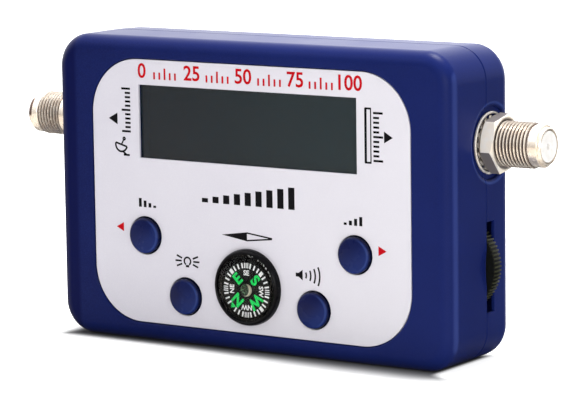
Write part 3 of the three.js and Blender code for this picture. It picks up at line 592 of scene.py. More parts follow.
def flare(piece, y, reach):
    """Extrudes the face of a cutter at y forwards and spreads it by as much, for a 45 degree lip."""
    low, high = (Vector(corner) for corner in (piece.bound_box[0], piece.bound_box[6]))
    width, height = high.x - low.x, high.z - low.z
    spread = (1 + 2 * reach / width, 1, 1 + 2 * reach / height)
    bpy.context.view_layer.objects.active = piece
    bpy.ops.object.mode_set(mode="EDIT")
    pick(piece, "FACE", at_y(y))
    bpy.ops.mesh.extrude_region_move(TRANSFORM_OT_translate={"value": (0, -reach, 0)})
    bpy.ops.transform.resize(value=spread, center_override=(low + high) / 2)
    bpy.ops.object.mode_set(mode="OBJECT")


def round_hole(radius, mouth_y, lip, place):
    """A cutter for a round hole through the front, with a small lip at its mouth."""
    outline = [
        (radius + lip + overrun, mouth_y - overrun),
        (radius, mouth_y + lip),
        (radius, front_y + case_wall + overrun),
    ]
    return turn("round_hole", outline, axis_at(place), steps=96)


panel = add_tile("front_panel", label_corner, label_rear_corner, label_radius, 24)
round_edges(panel, at_y(label_corner.y), panel_edge, 2)
seat = add_tile(
    "panel_seat",
    (label_corner.x - fit_gap, front_y + seat_mouth, label_corner.z - fit_gap),
    (label_rear_corner.x + fit_gap, label_rear_corner.y, label_rear_corner.z + fit_gap),
    label_radius + fit_gap,
    24,
)
flare(seat, front_y + seat_mouth, seat_mouth + overrun)
combine(front_shell, "DIFFERENCE", seat)
for shell, depth in ((panel, 0), (front_shell, case_wall)):
    window = add_block(
        "window",
        (window_low_x, front_y - overrun, window_low_z),
        (window_high_x, label_rear_corner.y + overrun + depth, window_high_z),
    )
    combine(shell, "DIFFERENCE", window)
for radius, lip, place in (
    *((button_radius + fit_gap, panel_edge, place) for place in button_places),
    (cup_radius + fit_gap, 0, compass_place),
):
    combine(panel, "DIFFERENCE", round_hole(radius, label_corner.y, lip, place))
    combine(front_shell, "DIFFERENCE", round_hole(radius, front_y, 0, place))


def printed_film():
    """Matt polycarbonate film: a very fine grain, clouds so faint that they only break the flat, and
    painted shade that darkens it to the left.
    """
    film = Finish("panel_film")
    clouds = film.noise(40, 2)
    grain = film.noise(7000, 1)
    [across] = film.axes("X")
    # Painted shade: most of the drift is a rise from left to right, so the film is darker to the left.
    drift = across.within(-side_x, side_x) * 0.8 + clouds.within(0.3, 0.7) * 0.2
    tone = film.mix(drift, paint(207, 204, 214), paint(222, 219, 226))
    tone = film.mix(grain.within(0.4, 0.8) * 0.3, tone, paint(228, 226, 231))
    bump = film.bump(0.25, 0.01 * mm, grain)
    film.set(
        base_color=tone,
        roughness=0.46 + clouds.within(0.3, 0.7) * 0.05,
        specular_ior_level=0.4,
        normal=bump,
    )
    return film


smooth(panel)
dress(panel, printed_film(), "case", "label_print", "front_label")


# Display: a smoked acrylic lens pressed in behind the panel, and behind it the liquid crystal glass
# in its black frame. Switched off, the glass is a dark grey, painted lighter and greener to the right.
lens_edge = 0.12 * mm
lens_corner_radius = 0.6 * mm
lens_seat_y = lens_corner.y - 0.05 * mm
lens_seat = add_block(
    "lens_seat",
    (lens_corner.x - fit_gap, lens_seat_y, lens_corner.z - fit_gap),
    (lens_rear_corner.x + fit_gap, front_y + case_wall + overrun, lens_rear_corner.z + fit_gap),
)
combine(front_shell, "DIFFERENCE", lens_seat)
lens = add_tile("display_lens", lens_corner, lens_rear_corner, lens_corner_radius, 6)
round_edges(lens, at_y(lens_corner.y), lens_edge, 3)
round_edges(lens, at_y(lens_rear_corner.y), lens_edge, 3)


def smoked_acrylic():
    """Smoked acrylic over a polariser: dark grey, painted lighter and greener to the right, black along
    the top and the right edge as a painted shadow, and only a little see-through."""
    acrylic = Finish("smoked_acrylic")
    across, height = acrylic.axes("XZ")
    haze = acrylic.noise(300, 3)
    # Painted light: the lens is lighter and greener to the right.
    rightwards = across.within(window_low_x, window_high_x)
    tone = acrylic.mix(rightwards, paint(6, 22, 33), paint(18, 38, 45))
    tone = acrylic.mix(haze.within(0.4, 0.8) * 0.1, tone, paint(46, 55, 60))
    # Painted shadow of the window's walls: black along the top and the right edge.
    inside = (window_high_x - across).within(0.1 * mm, 0.5 * mm)
    inside = inside * (window_high_z - height).within(0.1 * mm, 0.4 * mm)
    acrylic.set(
        base_color=acrylic.mix(inside, paint(5, 7, 9), tone),
        roughness=0.06 + haze.within(0.4, 0.8) * 0.05,
        alpha=0.84,
        specular_ior_level=0.35,
    )
    return acrylic


def display_glass():
    """Liquid crystal glass at rest: grey film, painted lighter and greener to the right, with a darker
    sealed border.
    """
    glass = Finish("liquid_crystal_glass")
    across, height = glass.axes("XZ")
    # Painted light: the glass is lighter and greener to the right.
    rightwards = across.within(window_low_x, window_high_x)
    film = glass.noise(900, 2)
    tone = glass.mix(rightwards, paint(42, 50, 57), paint(52, 64, 68))
    tone = glass.mix(film.within(0.4, 0.8) * 0.1, tone, paint(60, 68, 70))
    border = 0.6 * mm
    inside = across.above(window_low_x + border) * height.above(window_low_z + border)
    inside = inside * (window_high_x - border - across).above(0)
    inside = inside * (window_high_z - border - height).above(0)
    tone = glass.mix(inside, paint(36, 41, 45), tone)
    glass.set(base_color=tone, roughness=0.2 + film * 0.05, specular_ior_level=0.4)
    return glass


smooth(lens)
dress(lens, smoked_acrylic(), "case", "clear_plastic", "window_lens")


def coat(node, finish):
    """Gives a node of the frame a material, as it stands."""
    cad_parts[node].data.materials.clear()
    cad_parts[node].data.materials.append(finish.owner)


coat("lcd_glass", display_glass())


# Push buttons: four navy caps, moulded with a nearly flat crown and a rounded rim. A flange behind
# the panel holds each one in, and its stem stands on a switch.
button_crown = 0.25 * mm
button_rim_radius = 0.7 * mm
button_flange_radius = 4.9 * mm
button_flange_thickness = 0.8 * mm
button_stem_radius = 1.6 * mm
button_corner, button_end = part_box("att_left_button")
crown_y = button_corner.y
rim_top_y = crown_y + button_crown
flange_y = front_y + case_wall + fit_gap


def button_plastic(name, middle):
    """The case's navy, polished: painted light makes it lighter at the lower right, a painted highlight
    brightens its rim at the right, and painted shade darkens a ring all round, in the gap of the panel."""
    plastic = Finish(name)
    clouds = plastic.noise(260, 3)
    grain = plastic.noise(6500, 2)
    way = plastic.way_from(middle)
    reach = plastic.reach(way, "Y")
    [across] = plastic.axes("X", way)
    # Painted light: the cap is lighter towards the lower right.
    painted_shading = plastic.along(way, (0.6, 0, -0.8)).within(-2 * mm, 3 * mm)
    painted_shading = painted_shading * 0.8 + clouds.within(0.3, 0.7) * 0.2
    tone = plastic.mix(painted_shading, paint(3, 12, 62), paint(14, 36, 98))
    # Painted highlight on the rim at the right.
    rim_highlight = reach.band(3.1 * mm, 3.3 * mm, 3.45 * mm, 3.65 * mm)
    rim_highlight = rim_highlight * across.within(0.5 * mm, 2.4 * mm) * 0.5
    tone = plastic.mix(rim_highlight, tone, paint(52, 72, 134))
    # Painted shade: a dark ring all round, in the gap of the panel.
    tone = plastic.mix(reach.within(3.65 * mm, 3.8 * mm) * 0.85, tone, paint(2, 5, 34))
    bump = plastic.bump(0.15, 0.01 * mm, grain)
    plastic.set(
        base_color=tone,
        roughness=0.24 + clouds.within(0.3, 0.8) * 0.08,
        specular_ior_level=0.14,
        normal=bump,
    )
    return plastic


def button_outline():
    flat_radius = button_radius - button_rim_radius
    crown = [
        (flat_radius * share, crown_y + button_crown * share**2) for share in (0.15, 0.4, 0.65, 0.85)
    ]
    rim = arc(flat_radius, rim_top_y + button_rim_radius, button_rim_radius, -1, 0, 8)
    flange_rear = flange_y + button_flange_thickness
    return [
        *crown,
        *rim,
        (button_radius, flange_y),
        (button_flange_radius, flange_y),
        (button_flange_radius, flange_rear),
        (button_stem_radius, flange_rear),
        (button_stem_radius, button_end.y),
    ]


cap = turn("button_cap", button_outline(), steps=72)
smooth(cap, 50)
for name, place in zip(button_names, button_places):
    button = copy_of(cap, f"{name}_cap", Matrix.Translation(axis_at(place)))
    finish = button_plastic(f"{name}_plastic", place)
    dress(button, finish, f"{name}_press", "button_plastic", f"{name}_button")
bpy.data.objects.remove(cap)


# Compass: a black cup pressed through the panel, with a rounded rim and a clear domed cover. Inside,
# a card with white marks and green letters turns on a needle point, and it hangs a little low.
rim_radius = 8.1 * mm
cup_wall = 0.6 * mm
cup_bore = cup_radius - cup_wall
cup_corner, cup_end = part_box("compass_case")
rim_y = cup_corner.y
dome_thickness = 0.5 * mm
dome_rise = 1.5 * mm
dome_seat_y = rim_y + dome_thickness
dome_gap = 0.25 * mm
crown_share = 0.08
rim_round = (0.75 * mm, 1.4 * mm)
rim_step = 0.1 * mm
rim_angles = [math.radians(angle) for angle in range(0, 91, 10)]
cup = turn(
    "compass_cup",
    [
        (cup_bore, cup_end.y - cup_wall),
        (cup_bore, dome_seat_y),
        (cup_radius, dome_seat_y),
        (cup_radius, rim_y + rim_step),
        *(
            (rim_radius - rim_round[0] * (1 - math.sin(a)), rim_y + rim_round[1] * (1 - math.cos(a)))
            for a in rim_angles
        ),
        (rim_radius, label_corner.y),
        (cup_radius, label_corner.y),
        (cup_radius, cup_end.y),
    ],
    axis_at(compass_place),
    steps=96,
)


def dome_arc(radius, edge_y, steps):
    """From the crown of a dome of the given radius to its edge."""
    ball = (radius**2 + dome_rise**2) / (2 * dome_rise)
    sweep = math.asin(radius / ball)
    shares = (crown_share + (1 - crown_share) * step / steps for step in range(steps + 1))
    angles = [sweep * share for share in shares]
    return [(ball * math.sin(a), edge_y - dome_rise + ball * (1 - math.cos(a))) for a in angles]


dome = turn(
    "compass_dome_cover",
    [
        *dome_arc(cup_bore, rim_y, 14),
        (cup_radius - dome_gap, rim_y),
        (cup_radius - dome_gap, dome_seat_y),
        *reversed(dome_arc(cup_bore - dome_thickness, dome_seat_y, 12)),
    ],
    axis_at(compass_place),
    steps=96,
)


def black_gloss():
    """Black styrene from a polished mould, with a soft drift in gloss, and a few painted glints of
    light at the upper right, on the rim of the bore under the cover."""
    black = Finish("black_styrene")
    drift = black.noise(350, 4)
    tone = black.mix(drift.within(0.3, 0.7), paint(5, 5, 8), paint(13, 13, 17))
    way = black.way_from(compass_place)
    aside = black.along(way, (0.6, 0, 0.8))
    dashes = black.noise(1700, 2)
    # Painted glints: bright dashes on the rim of the bore at the upper right.
    painted_glints = black.reach(way, "Y").band(*(cup_bore + step * mm for step in (0, 0.1, 0.32, 0.42)))
    painted_glints = painted_glints * aside.within(cup_bore - 0.9 * mm, cup_bore - 0.4 * mm)
    painted_glints = painted_glints * dashes.within(0.52, 0.55)
    tone = black.mix(painted_glints, tone, paint(240, 240, 240))
    polish = 0.16 + drift.within(0.4, 0.9) * 0.14
    black.set(base_color=tone, roughness=polish, specular_ior_level=0.1)
    return black


smooth(cup, 40)
dress(cup, black_gloss(), "case", "black_plastic", "compass_case")


def clear_acrylic():
    """Clear acrylic seen straight through, with a dim sheen that grows towards grazing views."""
    acrylic = Finish("clear_acrylic")
    haze = acrylic.noise(300, 3)
    facing = acrylic.node("LayerWeight", inputs={"Blend": 0.5}, output="Facing")
    sheen = 0.03 + 0.9 * facing.work("POWER", facing, 4)
    polish = 0.03 + haze.within(0.4, 0.8) * 0.03
    through = acrylic.node("BsdfTransparent", inputs={"Color": paint(250, 251, 250)})
    dim = paint(124, 124, 124)
    gloss = acrylic.node("BsdfGlossy", inputs={"Color": dim, "Roughness": polish})
    blend = acrylic.node("MixShader", inputs={0: sheen, 1: through, 2: gloss})
    acrylic.feed(acrylic.tree.nodes["Material Output"].inputs["Surface"], blend)
    acrylic.tree.nodes.remove(acrylic.surface)
    return acrylic


smooth(dome, 50)
dress(dome, clear_acrylic(), "case", "clear_plastic", "compass_dome")
dial_place = node_centre("compass_dial")
dial_corner, dial_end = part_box("compass_dial")
dial_radius = (dial_end.x - dial_corner.x) / 2
dial_hub_rise = 0.6 * mm
dial_face_y = dial_corner.y + dial_hub_rise
dial_bore = 0.2 * mm
dial_edge = 0.1 * mm
ink_height = 0.03 * mm
tick_reach = 5.75 * mm
tick_length = 1.1 * mm
tick_count = 32
tick_width = 0.34 * mm
broad_tick_width = 0.75 * mm
fine_tick_width = 0.2 * mm
fine_tick_gap = 0.42 * mm
letter_height, letter_stroke, letter_reach = 2.28 * mm, 0.12 * mm, 3.05 * mm
pair_height, pair_stroke, pair_reach = 1.05 * mm, 0.035 * mm, 3.6 * mm
arrow_half_width, arrow_foot, arrow_tip = 0.75 * mm, 4.55 * mm, 5.65 * mm
card_turn = math.radians(225)
hub_radius = 1.3 * mm
dial = turn(
    "compass_card_disc",
    [
        (dial_bore, dial_face_y),
        (dial_radius - dial_edge, dial_face_y),
        (dial_radius, dial_face_y + dial_edge),
        (dial_radius, dial_end.y),
        (dial_bore, dial_end.y),
    ],
    axis_at(dial_place),
    steps=96,
)


def join(name, pieces):
    """Makes one object of several pieces."""
    bpy.ops.object.select_all(action="DESELECT")
    for piece in pieces:
        piece.select_set(True)
    bpy.context.view_layer.objects.active = pieces[0]
    bpy.ops.object.join()
    whole = bpy.context.object
    whole.name = name
    whole.data.name = name
    return whole


def shift(piece, place, angle=0):
    """Turns a finished mesh about the Y axis, clockwise from the front, and then moves it."""
    piece.data.transform(Matrix.Translation(place) @ Matrix.Rotation(angle, 4, "Y"))


def write(name, words, height, stroke, thickness=ink_height):
    """Lettering that stands in the plane of x and z, centred on the origin, as a thin solid."""
    bpy.ops.object.text_add()
    text = bpy.context.object
    text.data.body = words
    text.data.align_x = "CENTER"
    text.data.align_y = "CENTER"
    text.data.size = height / 0.7
    text.data.offset = stroke
    text.data.extrude = thickness / 2
    text.data.resolution_u = 4
    bpy.ops.object.convert(target="MESH")
    text = bpy.context.object
    text.rotation_euler = (math.pi / 2, 0, 0)
    text = keep(name)
    bpy.ops.object.mode_set(mode="EDIT")
    bpy.ops.mesh.select_all(action="SELECT")
    bpy.ops.mesh.remove_doubles(threshold=tiny)
    bpy.ops.object.mode_set(mode="OBJECT")
    return text


def mark(name, width, height, x, z, y, thickness=ink_height):
    """A printed bar with its middle at x and z, standing on the face at y."""
    half_width, half_height = width / 2, height / 2
    return add_block(
        name,
        (x - half_width, y - thickness, z - half_height),
        (x + half_width, y, z + half_height),
    )


def polygon(name, corners, y, thickness=ink_height):
    """A printed area with straight sides, from its corners in x and z."""
    bpy.ops.object.select_all(action="DESELECT")
    bpy.ops.mesh.primitive_circle_add(vertices=len(corners), radius=mm, fill_type="NGON")
    piece = keep(name)
    for vertex, (x, z) in zip(piece.data.vertices, corners):
        vertex.co = (x, y, z)
    bpy.ops.object.mode_set(mode="EDIT")
    bpy.ops.mesh.select_all(action="SELECT")
    bpy.ops.mesh.extrude_region_move(TRANSFORM_OT_translate={"value": (0, -thickness, 0)})
    bpy.ops.mesh.select_all(action="SELECT")
    bpy.ops.mesh.normals_make_consistent(inside=False)
    bpy.ops.object.mode_set(mode="OBJECT")
    return piece


card_centre = axis_at(dial_place)
white_marks = []
green_marks = []
tick_middle = tick_reach - tick_length / 2
plain_tick, broad_tick, fine_tick = (
    mark("tick", width, tick_length, 0, tick_middle, dial_face_y)
    for width in (tick_width, broad_tick_width, fine_tick_width)
)
for step in range(1, tick_count):
    if step % 8 == 0:
        ticks = [(broad_tick, 0)]
    elif step % 8 == 4:
        ticks = [(fine_tick, aside) for aside in (-fine_tick_gap, 0, fine_tick_gap)]
    else:
        ticks = [(plain_tick, 0)]
    turned = Matrix.Rotation(step * math.tau / tick_count + card_turn, 4, "Y")
    for tick, aside in ticks:
        move = Matrix.Translation(card_centre) @ turned @ Matrix.Translation((aside, 0, 0))
        white_marks.append(copy_of(tick, "tick", move))
for tick in (plain_tick, broad_tick, fine_tick):
    bpy.data.objects.remove(tick)
for index, letter in enumerate("NESW"):
    sign = write("letter", letter, letter_height, letter_stroke)
    shift(sign, (0, dial_face_y - ink_height / 2, letter_reach))
    shift(sign, card_centre, index * math.pi / 2 + card_turn)
    green_marks.append(sign)
for index, letters in enumerate(("NE", "SE", "SW", "NW")):
    sign = write("letters", letters, pair_height, pair_stroke)
    shift(sign, (0, dial_face_y - ink_height / 2, pair_reach))
    shift(sign, card_centre, (index + 0.5) * math.pi / 2 + card_turn)
    white_marks.append(sign)
arrow_corners = [(-arrow_half_width, arrow_foot), (0, arrow_tip), (arrow_half_width, arrow_foot)]
arrow = polygon("north_arrow", arrow_corners, dial_face_y)
shift(arrow, card_centre, card_turn)
green_marks.append(arrow)


def card_lacquer(name, dark, light, painted_glow=0.0):
    """A screen-printed lacquer: its own colour in two close tones, the weave of the screen, and a
    painted glow.
    """
    lacquer = Finish(name)
    weave = lacquer.noise(4200, 2)
    tone = lacquer.mix(weave.within(0.35, 0.7), dark, light)
    bump = lacquer.bump(0.2, 0.01 * mm, weave)
    lacquer.set(
        base_color=tone,
        roughness=0.5 + weave * 0.1,
        specular_ior_level=0.1,
        emission_color=tone,
        emission_strength=painted_glow,
        normal=bump,
    )
    return lacquer


# The white and the green lacquer shine with a painted glow, though they are no lamp.
white_lacquer = card_lacquer("white_lacquer", paint(226, 224, 228), paint(248, 246, 248), 0.2)
green_lacquer = card_lacquer("green_lacquer", paint(12, 190, 78), paint(40, 232, 112), 0.25)
black_lacquer = card_lacquer("card_black", paint(5, 5, 7), paint(12, 11, 13))
dress(join("compass_card_marks", white_marks), white_lacquer, "compass_card", "dial_print")
dress(join("compass_card_letters", green_marks), green_lacquer, "compass_card", "dial_print")
dress(dial, black_lacquer, "compass_card", "dial_print", "compass_dial")


def jewel_metal():
    """A brass cap gone green and black with age, with a painted highlight in a crescent on its right.
    """
    metal = Finish("jewel_metal")
    dull_centre = dial_place + Vector((-0.26, 0, 0.1)) * mm
    spots = metal.noise(2600, 3)
    # Painted highlight: the crescent round the dull middle is bright.
    bright = metal.reach(metal.way_from(dull_centre), "Y").within(1.2 * mm, 1.3 * mm)
    dull = metal.mix(spots.within(0.45, 0.65), paint(14, 20, 15), paint(84, 124, 88))
    tone = metal.mix(bright, dull, paint(236, 226, 206))
    metal.set(base_color=tone, metallic=0.4, roughness=0.3 + spots * 0.12)
    return metal


jewel = turn(
    "compass_jewel",
    [
        (0.3 * mm, dial_corner.y + 0.35 * mm),
        (0.75 * mm, dial_corner.y + 0.2 * mm),
        (hub_radius * 0.7, dial_corner.y),
        (hub_radius * 0.85, dial_corner.y + 0.02 * mm),
        (hub_radius, dial_corner.y + 0.3 * mm),
        (hub_radius, dial_face_y),
    ],
    axis_at(dial_place),
    steps=64,
)
smooth(jewel, 40)
smooth(dial, 40)
dress(jewel, jewel_metal(), "compass_card", "brass")


# Thumbwheel: a ribbed wheel of black nylon on the spindle of its control, half sunk in the right
# side of the rear shell, with a shallow scoop on both sides of its slot for the thumb.
wheel_corner, wheel_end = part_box("thumbwheel")
wheel_place = node_centre("thumbwheel")
wheel_thickness = 2.6 * mm
wheel_front_y = wheel_end.y - wheel_thickness
rib_depth = 0.35 * mm
wheel_radius = (wheel_end.z - wheel_corner.z) / 2 - 0.2 * mm
root_radius = wheel_radius - rib_depth
wheel_ribs = 72
faces_per_rib = 5
spindle_radius = 1.5 * mm
slot_width = 3.2 * mm
slot_length = 18.7 * mm
slot_reach = 2 * case_wall + overrun
slot_rim = 0.18 * mm
slot_wall = 0.8 * mm
slot_relief = 3.4 * mm
scoop_radius = 4.5 * mm
scoop_depth = case_wall * 0.14
scoop_ball = (scoop_radius**2 + scoop_depth**2) / (2 * scoop_depth)

bpy.ops.object.select_all(action="DESELECT")
bpy.ops.mesh.primitive_cylinder_add(
    vertices=wheel_ribs * faces_per_rib,
    radius=root_radius,
    depth=wheel_thickness,
    location=(wheel_place.x, wheel_front_y + wheel_thickness / 2, wheel_place.z),
    rotation=(math.pi / 2, 0, 0),
)
wheel = keep("ribbed_thumbwheel")


def on_rib(corners):
    """True for the side faces that are raised as ribs: two in each five round the wheel."""
    middle = sum(corners, Vector()) / len(corners) - wheel_place
    if len(corners) != 4:
        return False
    turned = math.atan2(middle.z, middle.x) / math.tau * wheel_ribs * faces_per_rib
    return math.floor(turned) % faces_per_rib < 2


bpy.ops.object.mode_set(mode="EDIT")
pick(wheel, "FACE", on_rib)
bpy.ops.mesh.extrude_region_shrink_fatten(TRANSFORM_OT_shrink_fatten={"value": rib_depth})
bpy.ops.object.mode_set(mode="OBJECT")
wheel_axis = axis_at(wheel_place)
spindle = rod("spindle", spindle_radius, wheel_corner.y, wheel_front_y + overrun, wheel_axis)
dish_floor_y = wheel_end.y - wheel_thickness * 0.3
dish = rod("dish", wheel_radius * 0.72, dish_floor_y, wheel_end.y + overrun, wheel_axis, steps=72)
combine(wheel, "UNION", spindle)
combine(wheel, "DIFFERENCE", dish)
edge = wheel.modifiers.new("rib_edges", "BEVEL")
edge.width = 0.06 * mm
edge.segments = 2
edge.limit_method = "ANGLE"
edge.angle_limit = math.radians(50)
bpy.context.view_layer.objects.active = wheel
bpy.ops.object.modifier_apply(modifier=edge.name)


def wheel_nylon():
    """Black nylon with a green cast, duller in the grooves and lighter and glossier on the ribs."""
    nylon = Finish("wheel_nylon")
    lightened = nylon.reach(nylon.way_from(wheel_place), "Y").within(root_radius, wheel_radius)
    grain = nylon.noise(3000, 3)
    tone = nylon.mix(grain.within(0.3, 0.7), paint(6, 8, 6), paint(13, 15, 11))
    tone = nylon.mix(lightened * grain.within(0.2, 0.6), tone, paint(56, 58, 40))
    bump = nylon.bump(0.3, 0.02 * mm, grain)
    nylon.set(
        base_color=tone,
        roughness=0.5 - lightened * 0.16 + grain * 0.08,
        specular_ior_level=0.18,
        normal=bump,
    )
    return nylon


smooth(wheel, 30)
dress(wheel, wheel_nylon(), "wheel", "black_plastic", "thumbwheel")
slot_front_y, slot_rear_y = seam_y - tongue_depth - fit_gap, seam_y + slot_width
slot_foot_z, slot_top_z = wheel_place.z - slot_length / 2, wheel_place.z + slot_length / 2
slot = add_block(
    "wheel_slot",
    (side_x - slot_reach / 2, slot_front_y, slot_foot_z),
    (side_x + slot_reach / 2, slot_rear_y, slot_top_z),
)
relief = add_block(
    "slot_relief",
    (side_x - slot_reach / 2, slot_front_y, slot_foot_z - overrun),
    (side_x - slot_wall, slot_rear_y + slot_relief, slot_top_z + overrun),
)
combine(rear_shell, "DIFFERENCE", slot, relief)


def on_slot_rim(ends):
    """True for the outer edges of the slot, in the side of the rear shell."""
    outside = all(end.x > side_x - rear_draft for end in ends)
    inside_length = all(abs(end.z - wheel_place.z) < slot_length / 2 + tiny for end in ends)
    inside_width = all(end.y < slot_rear_y + tiny for end in ends)
    at_seam = all(end.y < seam_y + 2 * seam_bevel for end in ends)
    return outside and inside_length and inside_width and not at_seam


bpy.context.view_layer.objects.active = rear_shell
round_edges(rear_shell, on_slot_rim, slot_rim, 2)
for shell in (front_shell, rear_shell):
    bpy.ops.object.select_all(action="DESELECT")
    bpy.ops.mesh.primitive_uv_sphere_add(
        segments=128,
        ring_count=64,
        radius=scoop_ball,
        location=(side_x + scoop_ball - scoop_depth, seam_y + slot_width / 2, wheel_place.z),
    )
    combine(shell, "DIFFERENCE", keep("thumb_scoop"))


# Connectors: an F socket on each side, turned from brass and nickel-plated, with a helical thread.
# A toothed washer and a hexagon nut pull its inner flange against the wall, in a round seat.
connector_place = node_centre("right_connector_insulator")
thread_radius = 4.7 * mm
thread_pitch = 0.794 * mm
thread_depth = 0.46 * mm
thread_root = thread_radius - thread_depth
thread_rise = ((0.08, -0.3), (0.12, 0), (0.4, 0.9), (0.46, 1))
thread_section = (*thread_rise, *((1 - share, rise) for share, rise in reversed(thread_rise)))
thread_chamfer = 0.35 * mm
socket_start = 38.8 * mm
right_tip, left_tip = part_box("right_connector_shell")[1].x, -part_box("left_connector_shell")[0].x
socket_tips = {"right": right_tip, "left": left_tip}
collar_radius = 4.35 * mm
collar_length = 2.1 * mm
nose_radius = 3.75 * mm
nose_length = 0.7 * mm
bore_radius = 3.45 * mm
insulator_radius = 3.2 * mm
inner_body_radius = 4.2 * mm
flange_radius = 5.7 * mm
flange_flat = 4.8 * mm
flange_reach = (45.01 * mm, 46.21 * mm)
flange_seat = flange_reach[1] - 0.6 * mm
edge_break = 0.12 * mm
fine_break = 0.1 * mm
neck_step = 0.22 * mm
thread_run_out = 0.08 * mm
barrel_gap = (0.15 * mm, 0.3 * mm)
seat_radius = 7.55 * mm
seat_floor_x = side_x - case_wall * 0.42
seat_round = 0.35 * mm
seat_dish = (0.95 * mm, 0.3 * mm)
first_thread_start = 47 * mm
short_thread_end = 53.2 * mm
outer_thread_start = 58.6 * mm
thread_ends = {side: tip - nose_length - collar_length for side, tip in socket_tips.items()}
axis_place = (0, connector_place.y, connector_place.z)


def draw(name, points):
    """A line of edges, extruded from a single vertex through the points and left in edit mode."""
    bpy.ops.object.select_all(action="DESELECT")
    bpy.ops.mesh.primitive_plane_add(size=mm, location=points[0])
    piece = keep(name)
    bpy.ops.object.mode_set(mode="EDIT")
    bpy.ops.mesh.select_mode(type="VERT")
    bpy.ops.mesh.select_all(action="SELECT")
    bpy.ops.mesh.merge(type="CENTER")
    for here, there in zip(points, points[1:]):
        step = Vector(there) - Vector(here)
        bpy.ops.mesh.extrude_vertices_move(TRANSFORM_OT_translate={"value": step})
    return piece


def thread_ridge(name, start, end):
    """A thread about the X axis: the Screw modifier winds one closed section, in shares of the pitch
    and the depth, whose foot stands in the wall of the body, and the crest then sinks into the wall
    over a short way at both ends."""
    points = [
        (start + (share - 1) * thread_pitch, thread_root + rise * thread_depth, 0)
        for share, rise in thread_section
    ]
    ridge = draw(name, points)
    bpy.ops.mesh.select_all(action="SELECT")
    bpy.ops.mesh.edge_face_add()
    bpy.ops.mesh.delete(type="ONLY_FACE")
    bpy.ops.object.mode_set(mode="OBJECT")
    winding = ridge.modifiers.new("winding", "SCREW")
    winding.axis = "X"
    winding.screw_offset = thread_pitch
    winding.iterations = math.ceil((end - start) / thread_pitch) + 1
    winding.steps = winding.render_steps = 48
    bpy.ops.object.modifier_apply(modifier=winding.name)
    for vertex in ridge.data.vertices:
        x, y, z = vertex.co
        reach = math.hypot(y, z)
        room = min(x - start, end - x) / thread_chamfer
        limit = thread_root + thread_depth * min(1, max(-0.35, room))
        if reach > limit:
            vertex.co = (x, y * limit / reach, z * limit / reach)
    bpy.ops.object.mode_set(mode="EDIT")
    bpy.ops.mesh.select_all(action="SELECT")
    bpy.ops.mesh.remove_doubles(threshold=tiny / 10)
    bpy.ops.mesh.fill_holes(sides=0)
    bpy.ops.mesh.select_all(action="SELECT")
    bpy.ops.mesh.normals_make_consistent(inside=False)
    bpy.ops.object.mode_set(mode="OBJECT")
    return ridge


def socket_body(name, tip, threads):
    """The turned body about the X axis, with its threads between the given pairs of places."""
    collar_start = tip - nose_length - collar_length
    collar_end = tip - nose_length
    outline = [
        (bore_radius, socket_start),
        (inner_body_radius, socket_start),
        (inner_body_radius, flange_seat),
        (thread_radius, flange_seat),
        (thread_radius, threads[0][0]),
    ]
    for index, (start, end) in enumerate(threads):
        outline += [(thread_root, start), (thread_root, end)]
        if index + 1 < len(threads):
            barrel = (end + barrel_gap[0], threads[index + 1][0] - barrel_gap[1])
            outline += [(thread_radius, barrel[0]), (thread_radius, barrel[1])]
    outline += [
        (thread_root, collar_start + thread_run_out),
        (collar_radius - fine_break, collar_start + edge_break),
        (collar_radius, collar_start + neck_step),
        (collar_radius, collar_end - edge_break),
        (collar_radius - edge_break, collar_end),
        (nose_radius + neck_step, collar_end),
        (nose_radius + neck_step, collar_end + fine_break),
        (nose_radius, tip - edge_break),
        (nose_radius - fine_break, tip),
        (bore_radius, tip),
        (bore_radius, socket_start),
    ]
    body = turn(name, outline, axis="X", steps=96)
    flange_outline = [
        (inner_body_radius - fit_gap, flange_reach[0]),
        (flange_radius, flange_reach[0]),
        (flange_radius, flange_reach[1]),
        (inner_body_radius - fit_gap, flange_reach[1]),
        (inner_body_radius - fit_gap, flange_reach[0]),
    ]
    flange = turn("flange", flange_outline, axis="X", steps=64)
    flats = add_block(
        "flats",
        (flange_reach[0] - overrun, -flange_flat, -flange_radius - overrun),
        (flange_reach[1] + overrun, flange_flat, flange_radius + overrun),
    )
    combine(flange, "INTERSECT", flats)
    return join(name, [body, flange, *(thread_ridge("thread", *reach) for reach in threads)])


def mounting(side):
    """The move that takes a piece from the X axis to the axis of the right or the left socket."""
    turned = Matrix.Rotation(0 if side == "right" else math.pi, 4, "Z")
    return Matrix.Translation(axis_place) @ turned


def nickel_plate(name, dark, light, roughness, metallic, film=None, shade=None):
    """Nickel over turned brass, warm in tone: fine tool rings, uneven gloss, painted shade in the
    grooves.
    A film, when given, gives from the place about the axis where painted shade turns the plating to the
    shade colour."""
    nickel = Finish(name)
    way = nickel.way_from(axis_place)
    reach = nickel.reach(way, "X")
    rings = nickel.noise(9000, 2, nickel.stretch(way, (1, 0.04, 0.04)))
    drift = nickel.noise(420, 4)
    tone = nickel.mix(drift.within(0.3, 0.7), dark, light)
    groove = 1 - reach.within(thread_root, thread_radius - 0.16 * mm)
    [across] = nickel.axes("X", way)
    threaded = abs(across).above(first_thread_start) * (thread_ends["right"] - across).above(0)
    threaded = threaded * (across + thread_ends["left"]).above(0)
    # Painted shade in the grooves of the thread, which also makes them rougher.
    groove_shade = groove * threaded * reach.above(bore_radius + 0.7 * mm) * 0.9
    tone = nickel.mix(groove_shade, tone, paint(40, 30, 26))
    # Painted shade wherever the film gives it.
    if film:
        tone = nickel.mix(film(nickel, way, reach), tone, shade)
    bump = nickel.bump(0.12, 0.01 * mm, rings)
    nickel.set(
        base_color=tone,
        metallic=metallic,
        roughness=roughness + drift.within(0.3, 0.8) * 0.08 + groove_shade * 0.3,
        normal=bump,
    )
    return nickel


